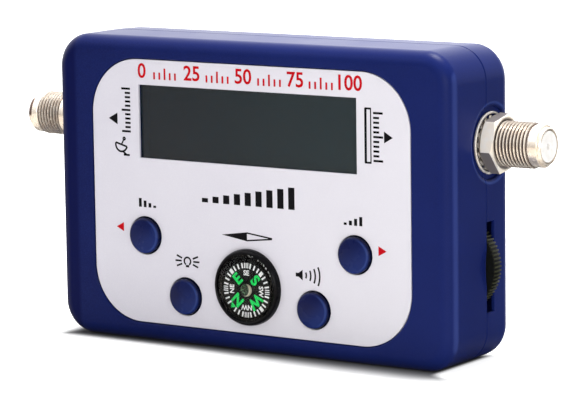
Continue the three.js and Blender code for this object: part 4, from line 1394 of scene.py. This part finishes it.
def thread_shade(nickel, way, reach):
    """Painted shade: brown in the grooves of the thread, and on its crests wherever they turn away from
    the view.
    """
    [across] = nickel.axes("X", way)
    aside = nickel.node("LayerWeight", inputs={"Blend": 0.5}, output="Facing")
    threaded = (across + thread_ends["left"]).above(0) * (thread_ends["right"] - across).above(0)
    threaded = threaded * reach.above(thread_radius - thread_depth * 1.1)
    threaded = threaded * abs(across).above(first_thread_start)
    groove = 1 - reach.within(thread_radius - thread_depth * 0.7, thread_radius - 0.03 * mm)
    return (aside.within(0.25, 0.75) * 0.85).larger(groove * 0.4) * threaded


def left_socket_shade(nickel, way, reach):
    """The same painted thread shade, and a painted dark reflection on the upper front of the left
    socket's end.
    """
    across, depth, height = nickel.axes("XYZ", way)
    # Painted dark reflection on the upper front of the end.
    end = (-socket_tips["left"] + nose_length * 1.9 - across).above(0)
    end = end * height.within(-0.7 * mm, -0.1 * mm) * (1 - height.within(3.1 * mm, 3.6 * mm))
    end = end * (1 - depth.above(-2 * mm)) * reach.above(bore_radius)
    return thread_shade(nickel, way, reach) + end * 0.95


# The colour of the painted shade on the threads.
shade_brown = paint(76, 48, 40)
warm_dark, warm_light = paint(246, 230, 212), paint(255, 246, 232)
# Both plates take painted shade on the thread, and the left one also on the upper front of its end.
plates = {
    "right": nickel_plate("nickel_plate", warm_dark, warm_light, 0.2, 0.66, thread_shade, shade_brown),
    "left": nickel_plate("shaded_left_plate", warm_dark, warm_light, 0.24, 0.6, left_socket_shade, shade_brown),
}
for side, threads in (
    ("right", [(first_thread_start, thread_ends["right"])]),
    ("left", [(first_thread_start, short_thread_end), (outer_thread_start, thread_ends["left"])]),
):
    body = socket_body(f"{side}_socket_body", socket_tips[side], threads)
    body.data.transform(mounting(side))
    smooth(body, 40)
    dress(body, plates[side], "case", "nickel", f"{side}_connector_shell")
    for shell in (front_shell, rear_shell):
        reach = (case_wall + 2 * overrun) / 2
        hole = rod("hole", thread_radius + fit_gap, side_x - 2 * reach, side_x + reach, axis="X")
        seat_outline = [
            (seat_radius, seat_floor_x),
            *arc(seat_radius + seat_round, side_x - seat_dish[1] - seat_round, seat_round, 2, 1.1, 6),
            (seat_radius + seat_round + seat_dish[0], side_x + tiny),
            (seat_radius + seat_round + seat_dish[0] + overrun, side_x + overrun),
        ]
        seat_cutter = turn("seat_cutter", seat_outline, axis="X", steps=128)
        for cutter in (hole, seat_cutter):
            cutter.data.transform(mounting(side))
        combine(shell, "DIFFERENCE", hole, seat_cutter)


# Insulators: white plastic discs in the mouths of the sockets, with a funnel that guides the wire of
# the plug into the contact.
funnel_radius = 0.95 * mm
funnel_depth = 0.3 * mm
contact_hole_radius = 0.7 * mm


def insulator_plastic():
    """White polymethylpentene, glossy and a little milky."""
    plastic = Finish("insulator_plastic")
    milk = plastic.noise(500, 3)
    tone = plastic.mix(milk.within(0.3, 0.7), paint(243, 240, 236), paint(252, 251, 249))
    plastic.set(base_color=tone, roughness=0.25 + milk * 0.1)
    return plastic


milky_plastic = insulator_plastic()
for side, tip in socket_tips.items():
    insulator = turn(
        f"{side}_insulator",
        [
            (contact_hole_radius, socket_start),
            (insulator_radius, socket_start),
            (insulator_radius, tip - edge_break),
            (insulator_radius - edge_break, tip),
            (funnel_radius, tip),
            (contact_hole_radius, tip - funnel_depth),
            (contact_hole_radius, socket_start),
        ],
        axis="X",
        steps=72,
    )
    insulator.data.transform(mounting(side))
    smooth(insulator)
    dress(insulator, milky_plastic, "case", "nylon", f"{side}_connector_insulator")


# Lock washers: a thin rim of spring steel with sixteen teeth inside, each twisted to bite, and bright
# nickel over it. One lies in each round seat, under the nut.
washer_radius = 6.4 * mm
washer_rim = 0.42 * mm
washer_x = seat_floor_x + fit_gap
washer_thickness = 0.5 * mm
washer_edge = 0.08 * mm
tooth_count = 16
tooth_reach = (4.97 * mm, 6.0 * mm)
tooth_width = 1.0 * mm
tooth_thickness = 0.3 * mm
tooth_twist = 0.3


def lock_washer():
    """The rim and its teeth, about the X axis."""
    ring_outline = [
        (washer_radius - washer_rim, washer_x),
        (washer_radius - washer_edge, washer_x),
        (washer_radius, washer_x + washer_edge),
        (washer_radius, washer_x + washer_thickness - edge_break),
        (washer_radius - edge_break, washer_x + washer_thickness),
        (washer_radius - washer_rim, washer_x + washer_thickness),
        (washer_radius - washer_rim, washer_x),
    ]
    parts = [turn("ring", ring_outline, axis="X", steps=96)]
    tooth = add_block(
        "tooth",
        (-tooth_thickness / 2, -tooth_width / 2, tooth_reach[0]),
        (tooth_thickness / 2, tooth_width / 2, tooth_reach[1]),
    )
    middle = Matrix.Translation((washer_x + washer_thickness / 2, 0, 0))
    twist = Matrix.Rotation(tooth_twist, 4, "Z")
    for index in range(tooth_count):
        about = Matrix.Rotation(index * math.tau / tooth_count, 4, "X")
        parts.append(copy_of(tooth, "tooth", middle @ about @ twist))
    bpy.data.objects.remove(tooth)
    return join("lock_washer", parts)


def tooth_root_shade(plate, way, reach):
    """Painted shade: the dark ring in which the teeth leave the rim."""
    outside = 1 - reach.above(washer_radius - washer_rim)
    return reach.above(tooth_reach[1] - 0.38 * mm) * outside * 0.95


bright_tones = paint(238, 230, 220), paint(252, 246, 238)
# The washers' plating takes painted shade where the teeth leave the rim.
bright_plating = nickel_plate("bright_plate", *bright_tones, 0.2, 0.6, tooth_root_shade, paint(26, 22, 24))
toothed_ring = lock_washer()
for side in socket_tips:
    washer = copy_of(toothed_ring, f"{side}_lock_washer", mounting(side))
    smooth(washer)
    dress(washer, bright_plating, "case", "nickel", f"{side}_connector_washer")
bpy.data.objects.remove(toothed_ring)


# Hexagon nuts: cut from brass bar, with a chamfer outside and a clean bore, and nickel-plated. Each
# is screwed up to its washer, and painted shade darkens its flats but for two opposite ones, left
# bright as lit.
nut_x = washer_x + washer_thickness + 2 * fit_gap
nut_thickness = 2.9 * mm
nut_flats = 11 * mm
nut_corner = nut_flats / math.sqrt(3)
nut_chamfer = nut_corner - nut_flats / 2
nut_edge = 0.12 * mm
nut_play = 0.05 * mm
nut_turn = -0.33


def hexagon_nut():
    """A nut about the X axis, with rounded corners, a chamfer on both faces and a smooth bore."""
    bpy.ops.object.select_all(action="DESELECT")
    bpy.ops.mesh.primitive_cylinder_add(
        vertices=6,
        radius=nut_corner,
        depth=nut_thickness,
        location=(nut_x + nut_thickness / 2, 0, 0),
        rotation=(0, math.pi / 2, 0),
    )
    nut = keep("hexagon_nut")
    nut.data.transform(Matrix.Rotation(math.pi / 6 + nut_turn, 4, "X"))
    round_edges(nut, lambda ends: abs(ends[0].x - ends[1].x) > tiny, nut_edge, 2)
    face_x = nut_x + nut_thickness
    outline = [
        (nut_corner - nut_chamfer, nut_x),
        (nut_corner, nut_x + nut_chamfer / 2),
        (nut_corner, face_x - nut_chamfer / 2),
        (nut_corner - nut_chamfer, face_x),
    ]
    combine(nut, "INTERSECT", turn("chamfers", outline, axis="X", steps=128))
    bore = [
        (thread_radius + 2 * fit_gap, nut_x - overrun),
        (thread_radius + 2 * fit_gap, nut_x),
        (thread_radius + nut_play, nut_x + fit_gap),
        (thread_radius + nut_play, face_x - fit_gap),
        (thread_radius + 2 * fit_gap, face_x),
        (thread_radius + 2 * fit_gap, face_x + overrun),
    ]
    combine(nut, "DIFFERENCE", turn("bore", bore, axis="X", steps=96))
    return nut


def shaded_flats(lit_facing):
    """Painted shade on the flats of a nut, but not on two opposite ones, which are left bright as lit,
    and round the mouth of its bore."""

    def share(plate, way, reach):
        # The two opposite flats that are left bright as lit.
        lit_flats = abs(plate.along(way, lit_facing)).above(nut_flats / 2 - nut_edge / 2)
        [across] = plate.axes("X", way)
        on_flat = (nut_x + nut_thickness - nut_chamfer / 2 - abs(across)).above(0)
        flats = reach.above(nut_flats / 2 - nut_edge / 2) * on_flat * (1 - lit_flats)
        # Painted shade round the mouth of the bore.
        mouth = 1 - reach.within(thread_radius + 0.25 * mm, thread_radius + 0.75 * mm)
        return (flats + mouth) * 0.85

    return share


nut_tones = paint(255, 244, 226), paint(255, 250, 240)
blank = hexagon_nut()
for side, sign in (("right", -1), ("left", 1)):
    nut = copy_of(blank, f"{side}_hexagon_nut", mounting(side))
    smooth(nut, 25)
    # Painted shade on the nut's flats and round its bore.
    painted_shading = shaded_flats((0, sign * math.cos(nut_turn), -math.sin(nut_turn)))
    nut_plate = nickel_plate(f"{side}_nut_plate", *nut_tones, 0.3, 0.3, painted_shading, paint(60, 50, 58))
    dress(nut, nut_plate, "case", "nickel", f"{side}_connector_nut")
bpy.data.objects.remove(blank)


# Print: black and red screen ink on the panel. A plain scale from 0 to 100 over the display, rising
# bars, and a plain sign by each control and at each connector. Its places and sizes are in mm.
panel_y = label_corner.y
ink = 0.02 * mm
line = 0.38
black_ink = []
red_ink = []


def bar(inks, x, z, width, height, angle=0):
    """A printed bar with its middle at x and z."""
    piece = mark("bar", width * mm, height * mm, 0, 0, panel_y, ink)
    shift(piece, (x * mm, 0, z * mm), angle)
    inks.append(piece)


def area(inks, *corners):
    """A printed area with straight sides between its corners."""
    inks.append(polygon("area", [(x * mm, z * mm) for x, z in corners], panel_y, ink))


def ring(inks, x, z, radius, width, start=0, end=360, steps=28):
    """A printed ring, or a part of it, with its angles in degrees from the right."""
    angles = [math.radians(start + (end - start) * step / steps) for step in range(steps + 1)]
    edges = (radius + width / 2, radius - width / 2)
    outer, inner = ([(x + r * math.cos(a), z + r * math.sin(a)) for a in angles] for r in edges)
    if end - start == 360:
        half = steps // 2 + 1
        area(inks, *outer[:half], *reversed(inner[:half]))
        area(inks, *outer[half - 1 :], *reversed(inner[half - 1 :]))
    else:
        area(inks, *outer, *reversed(inner))


def stroke(inks, start, end, width):
    """A printed line between two places."""
    run, rise = end[0] - start[0], end[1] - start[1]
    middle = ((start[0] + end[0]) / 2, (start[1] + end[1]) / 2)
    bar(inks, *middle, math.hypot(run, rise), width, -math.atan2(rise, run))


# The scale: five figures, with five ticks between each two.
window_centre_x = (window_low_x + window_high_x) / 2 / mm
scale_z = 57.75
scale_step = 12.95
scale_start = window_centre_x - 2 * scale_step - 0.4
figure_height, figure_stroke = 3.05, 0.075
short_tick, long_tick, tick_gap = 1.5, 2.4, 1.35
last_end = None
for index in range(5):
    figure = write("figure", str(25 * index), figure_height * mm, figure_stroke * mm, ink)
    figure_x = scale_start + index * scale_step
    shift(figure, (figure_x * mm, panel_y - ink / 2, scale_z * mm))
    across = [vertex.co.x / mm for vertex in figure.data.vertices]
    red_ink.append(figure)
    if last_end is not None:
        for tick in range(-2, 3):
            height = short_tick if tick else long_tick
            x = (last_end + min(across)) / 2 + tick * tick_gap
            bar(red_ink, x, scale_z - figure_height / 2 + height / 2, 0.45, height)
    last_end = max(across)

# The rising bars of the signal, and small ones that rise or fall over the outer buttons.
level_x, level_z, level_gap, level_rise = -10.8, 31, 2.72, 0.46
for index in range(9):
    height = 0.9 + level_rise * index
    bar(black_ink, level_x + level_gap * index, level_z + height / 2, 1.55, height)
for centre_x, rising in ((-25.75, -1), (25.93, 1)):
    for index in range(4):
        height = 0.5 + level_rise * index
        x = centre_x + rising * (index - 1.5) * 1.25
        bar(black_ink, x, 28.85 + height / 2, 0.72, height)

# A lamp with its rays, and a horn with its waves, over the inner buttons.
lamp_x, lamp_z = -15.6, 18.1
ring(black_ink, lamp_x, lamp_z, 0.82, line, -60, 240, 20)
bar(black_ink, lamp_x, lamp_z - 1.05, 0.85, 0.5)
for side in (-1, 1):
    for rise in (-1, 0, 1):
        start = (lamp_x + side * (1.5 - 0.12 * abs(rise)), lamp_z + rise * 0.6)
        end = (lamp_x + side * (3.1 - 0.35 * abs(rise)), lamp_z + rise * 1.15)
        stroke(black_ink, start, end, line)
horn_x, horn_z = 12.9, 17.6
horn = ((-1.1, -0.4), (-0.4, -0.4), (0.6, -1.1), (0.6, 1.1), (-0.4, 0.4), (-1.1, 0.4))
area(black_ink, *((horn_x + x, horn_z + z) for x, z in horn))
for radius in (1.5, 2.6, 3.7, 4.8):
    ring(black_ink, horn_x, horn_z, radius, line, -24, 24, 8)

# A compass needle, half filled and half outlined, over the compass.
needle_x, needle_z = -0.26, 24.5
area(black_ink, (needle_x - 6.4, needle_z), (needle_x, needle_z - 0.95), (needle_x, needle_z + 0.95))
for side in (-1, 1):
    start, end = (needle_x, needle_z + side * 0.8), (needle_x + 6.3, needle_z + side * 0.06)
    stroke(black_ink, start, end, 0.32)

# Arrows: a black one towards each connector, and a red one outwards from each outer button.
for inks, tip, foot_x, foot_zs in (
    (black_ink, (-35.5, 47.4), -33.2, (46.15, 48.65)),
    (black_ink, (35.6, 47.3), 33.55, (46.1, 48.5)),
    (red_ink, (-34, 24.2), -32.1, (23.25, 25.2)),
    (red_ink, (33.9, 24.1), 31.97, (23.05, 25.1)),
):
    area(inks, tip, *((foot_x, z) for z in foot_zs))

# Ruled marks on both sides of the display, an outlined bar at the right, and a dish at the left.
for index in range(11):
    width = 2.3 if index % 5 == 0 else 1.4
    bar(black_ink, -29.75 - width / 2, 44.8 + 0.91 * index, width, 0.45)
    bar(black_ink, 31.0 + width / 2, 42.4 + 0.97 * index, width, 0.45)
bar(black_ink, 29.17, 47.45, 0.56, 11.2)
bar(black_ink, 30.4, 47.45, 0.26, 11.2)
for z in (41.95, 52.95):
    bar(black_ink, 29.75, z, 1.5, 0.4)
dish_x, dish_z = -32.3, 41.9
ring(black_ink, dish_x, dish_z, 1.5, 0.42, 165, 345, 20)
ring(black_ink, dish_x + 0.75, dish_z + 1.3, 0.25, 0.36)
for (start_x, start_z), (end_x, end_z), width in (
    ((-1.45, 0.4), (1.45, -0.4), 0.4),
    ((0, 0), (0.7, 1.2), 0.34),
    ((0.3, -1.4), (1.3, -2.1), 0.42),
):
    start, end = (dish_x + start_x, dish_z + start_z), (dish_x + end_x, dish_z + end_z)
    stroke(black_ink, start, end, width)
bar(black_ink, dish_x + 1.35, dish_z - 2.15, 1.6, 0.42)


def screen_ink(name, dark, light):
    """Screen ink: two close tones under the weave of the screen, a little glossier than the film."""
    colour = Finish(name)
    weave = colour.noise(3800, 2)
    bump = colour.bump(0.15, 0.01 * mm, weave)
    tone = colour.mix(weave.within(0.35, 0.7), dark, light)
    colour.set(base_color=tone, roughness=0.4 + weave * 0.1, specular_ior_level=0.06, normal=bump)
    return colour


black_print = join("black_panel_print", black_ink)
red_print = join("red_panel_print", red_ink)
dress(black_print, screen_ink("black_ink", paint(8, 8, 12), paint(16, 15, 20)), "case", "label_print")
dress(red_print, screen_ink("red_ink", paint(178, 0, 14), paint(198, 6, 24)), "case", "label_print")


# Rear screws: four cross-recessed screws of zinc-plated steel, sunk deep in the rear shell. They
# hold the two shells together, each in a post of the front one.
head_radius = 2.1 * mm
head_height = 1.5 * mm
head_round = 0.4 * mm
shank_radius = 1.35 * mm
point_radius = 0.15 * mm
point_length = 1.1 * mm
recess_arm = 0.5 * mm
recess_reach = 1.25 * mm
recess_share = 0.6


def plated_steel():
    """Zinc-plated steel: a grey metal with faint blue and yellow clouds, dulled by handling."""
    steel = Finish("plated_steel")
    clouds = steel.noise(600, 3)
    scratches = steel.noise(4000, 4)
    tone = steel.mix(clouds.within(0.3, 0.7), paint(176, 180, 188), paint(204, 202, 196))
    bump = steel.bump(0.15, 0.01 * mm, scratches)
    steel.set(base_color=tone, metallic=1.0, roughness=0.26 + scratches * 0.14, normal=bump)
    return steel


zinc = plated_steel()
tip_y, head_end_y = (corner.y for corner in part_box("case_screw_1"))
head_y = head_end_y - head_height
screw_outline = [
    (point_radius, tip_y),
    (shank_radius, tip_y + point_length),
    (shank_radius, head_y),
    (head_radius, head_y),
    *arc(head_radius - head_round, head_end_y - head_round, head_round, 0, 1, 6),
    (0.5 * mm, head_end_y),
]
screw = turn("rear_screw", screw_outline, steps=48)
for width, height in ((recess_arm, 2 * recess_reach), (2 * recess_reach, recess_arm)):
    blade = add_block(
        "blade",
        (-width / 2, head_end_y - head_height * recess_share, -height / 2),
        (width / 2, head_end_y + overrun, height / 2),
    )
    combine(screw, "DIFFERENCE", blade)
smooth(screw)
for index in range(1, 5):
    place = axis_at(node_centre(f"case_screw_{index}"))
    rear_screw = copy_of(screw, f"rear_screw_{index}", Matrix.Translation(place))
    dress(rear_screw, zinc, "case", "steel", f"case_screw_{index}")
bpy.data.objects.remove(screw)


# Closing the case: both shells have all their openings now, for the display, buttons, compass, wheel,
# connectors and screws. They get their smooth faces and the navy finish, and stand for the nodes.
smooth(front_shell)
smooth(rear_shell)
dress(front_shell, navy_plastic, "case", "case_plastic", "front_shell")
dress(rear_shell, navy_plastic, "case", "case_plastic", "rear_shell")


# Inside: the board with its chips, the display's frame and light, the switches, the wheel's control
# and the small screws stay as the frame has them, each with the finish of its real material.
def inner_finish(name, dark, light, scale, roughness, metallic=0.0):
    """An even material in two close tones, broken by a noise of the given scale."""
    finish = Finish(name)
    drift = finish.noise(scale, 3)
    bump = finish.bump(0.2, 0.01 * mm, drift)
    finish.set(
        base_color=finish.mix(drift.within(0.3, 0.7), dark, light),
        metallic=metallic,
        roughness=roughness + drift * 0.12,
        normal=bump,
    )
    return finish


def board_laminate():
    """Glass-fibre laminate: green solder resist, with copper tracks just showing through it."""
    laminate = Finish("board_laminate")
    bricks = {"Vector": laminate.place, "Scale": 260, "Mortar Size": 0.01}
    tracks = laminate.node("TexBrick", inputs=bricks)
    weave = laminate.noise(1400, 2)
    tone = laminate.mix(weave.within(0.3, 0.7), paint(14, 74, 44), paint(22, 92, 54))
    tone = laminate.mix(tracks * 0.25, tone, paint(46, 122, 74))
    laminate.set(base_color=tone, roughness=0.32 + weave * 0.1)
    return laminate


inner_finishes = {
    "board_laminate": board_laminate(),
    "chip_resin": inner_finish("chip_resin", paint(24, 24, 26), paint(40, 40, 42), 2600, 0.5),
    "steel": zinc,
    "capacitor_can": inner_finish("capacitor_sleeve", paint(22, 26, 62), paint(34, 40, 84), 900, 0.3),
    "diffuser_plastic": inner_finish("diffuser", paint(226, 228, 222), paint(240, 241, 236), 700, 0.4),
    "zebra_rubber": inner_finish("zebra_rubber", paint(58, 58, 60), paint(92, 92, 94), 1800, 0.7),
    "black_plastic": inner_finish("black_nylon", paint(20, 20, 22), paint(34, 34, 36), 1600, 0.42),
    "brass": inner_finish("brass", paint(186, 150, 82), paint(214, 182, 112), 900, 0.22, 1.0),
    "nickel": plates["right"],
    "nylon": inner_finish("white_nylon", paint(226, 222, 212), paint(240, 237, 228), 900, 0.4),
}
for name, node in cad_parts.items():
    slot_name = node.data.materials[0].name
    if not node.hide_render and slot_name in inner_finishes:
        coat(name, inner_finishes[slot_name])
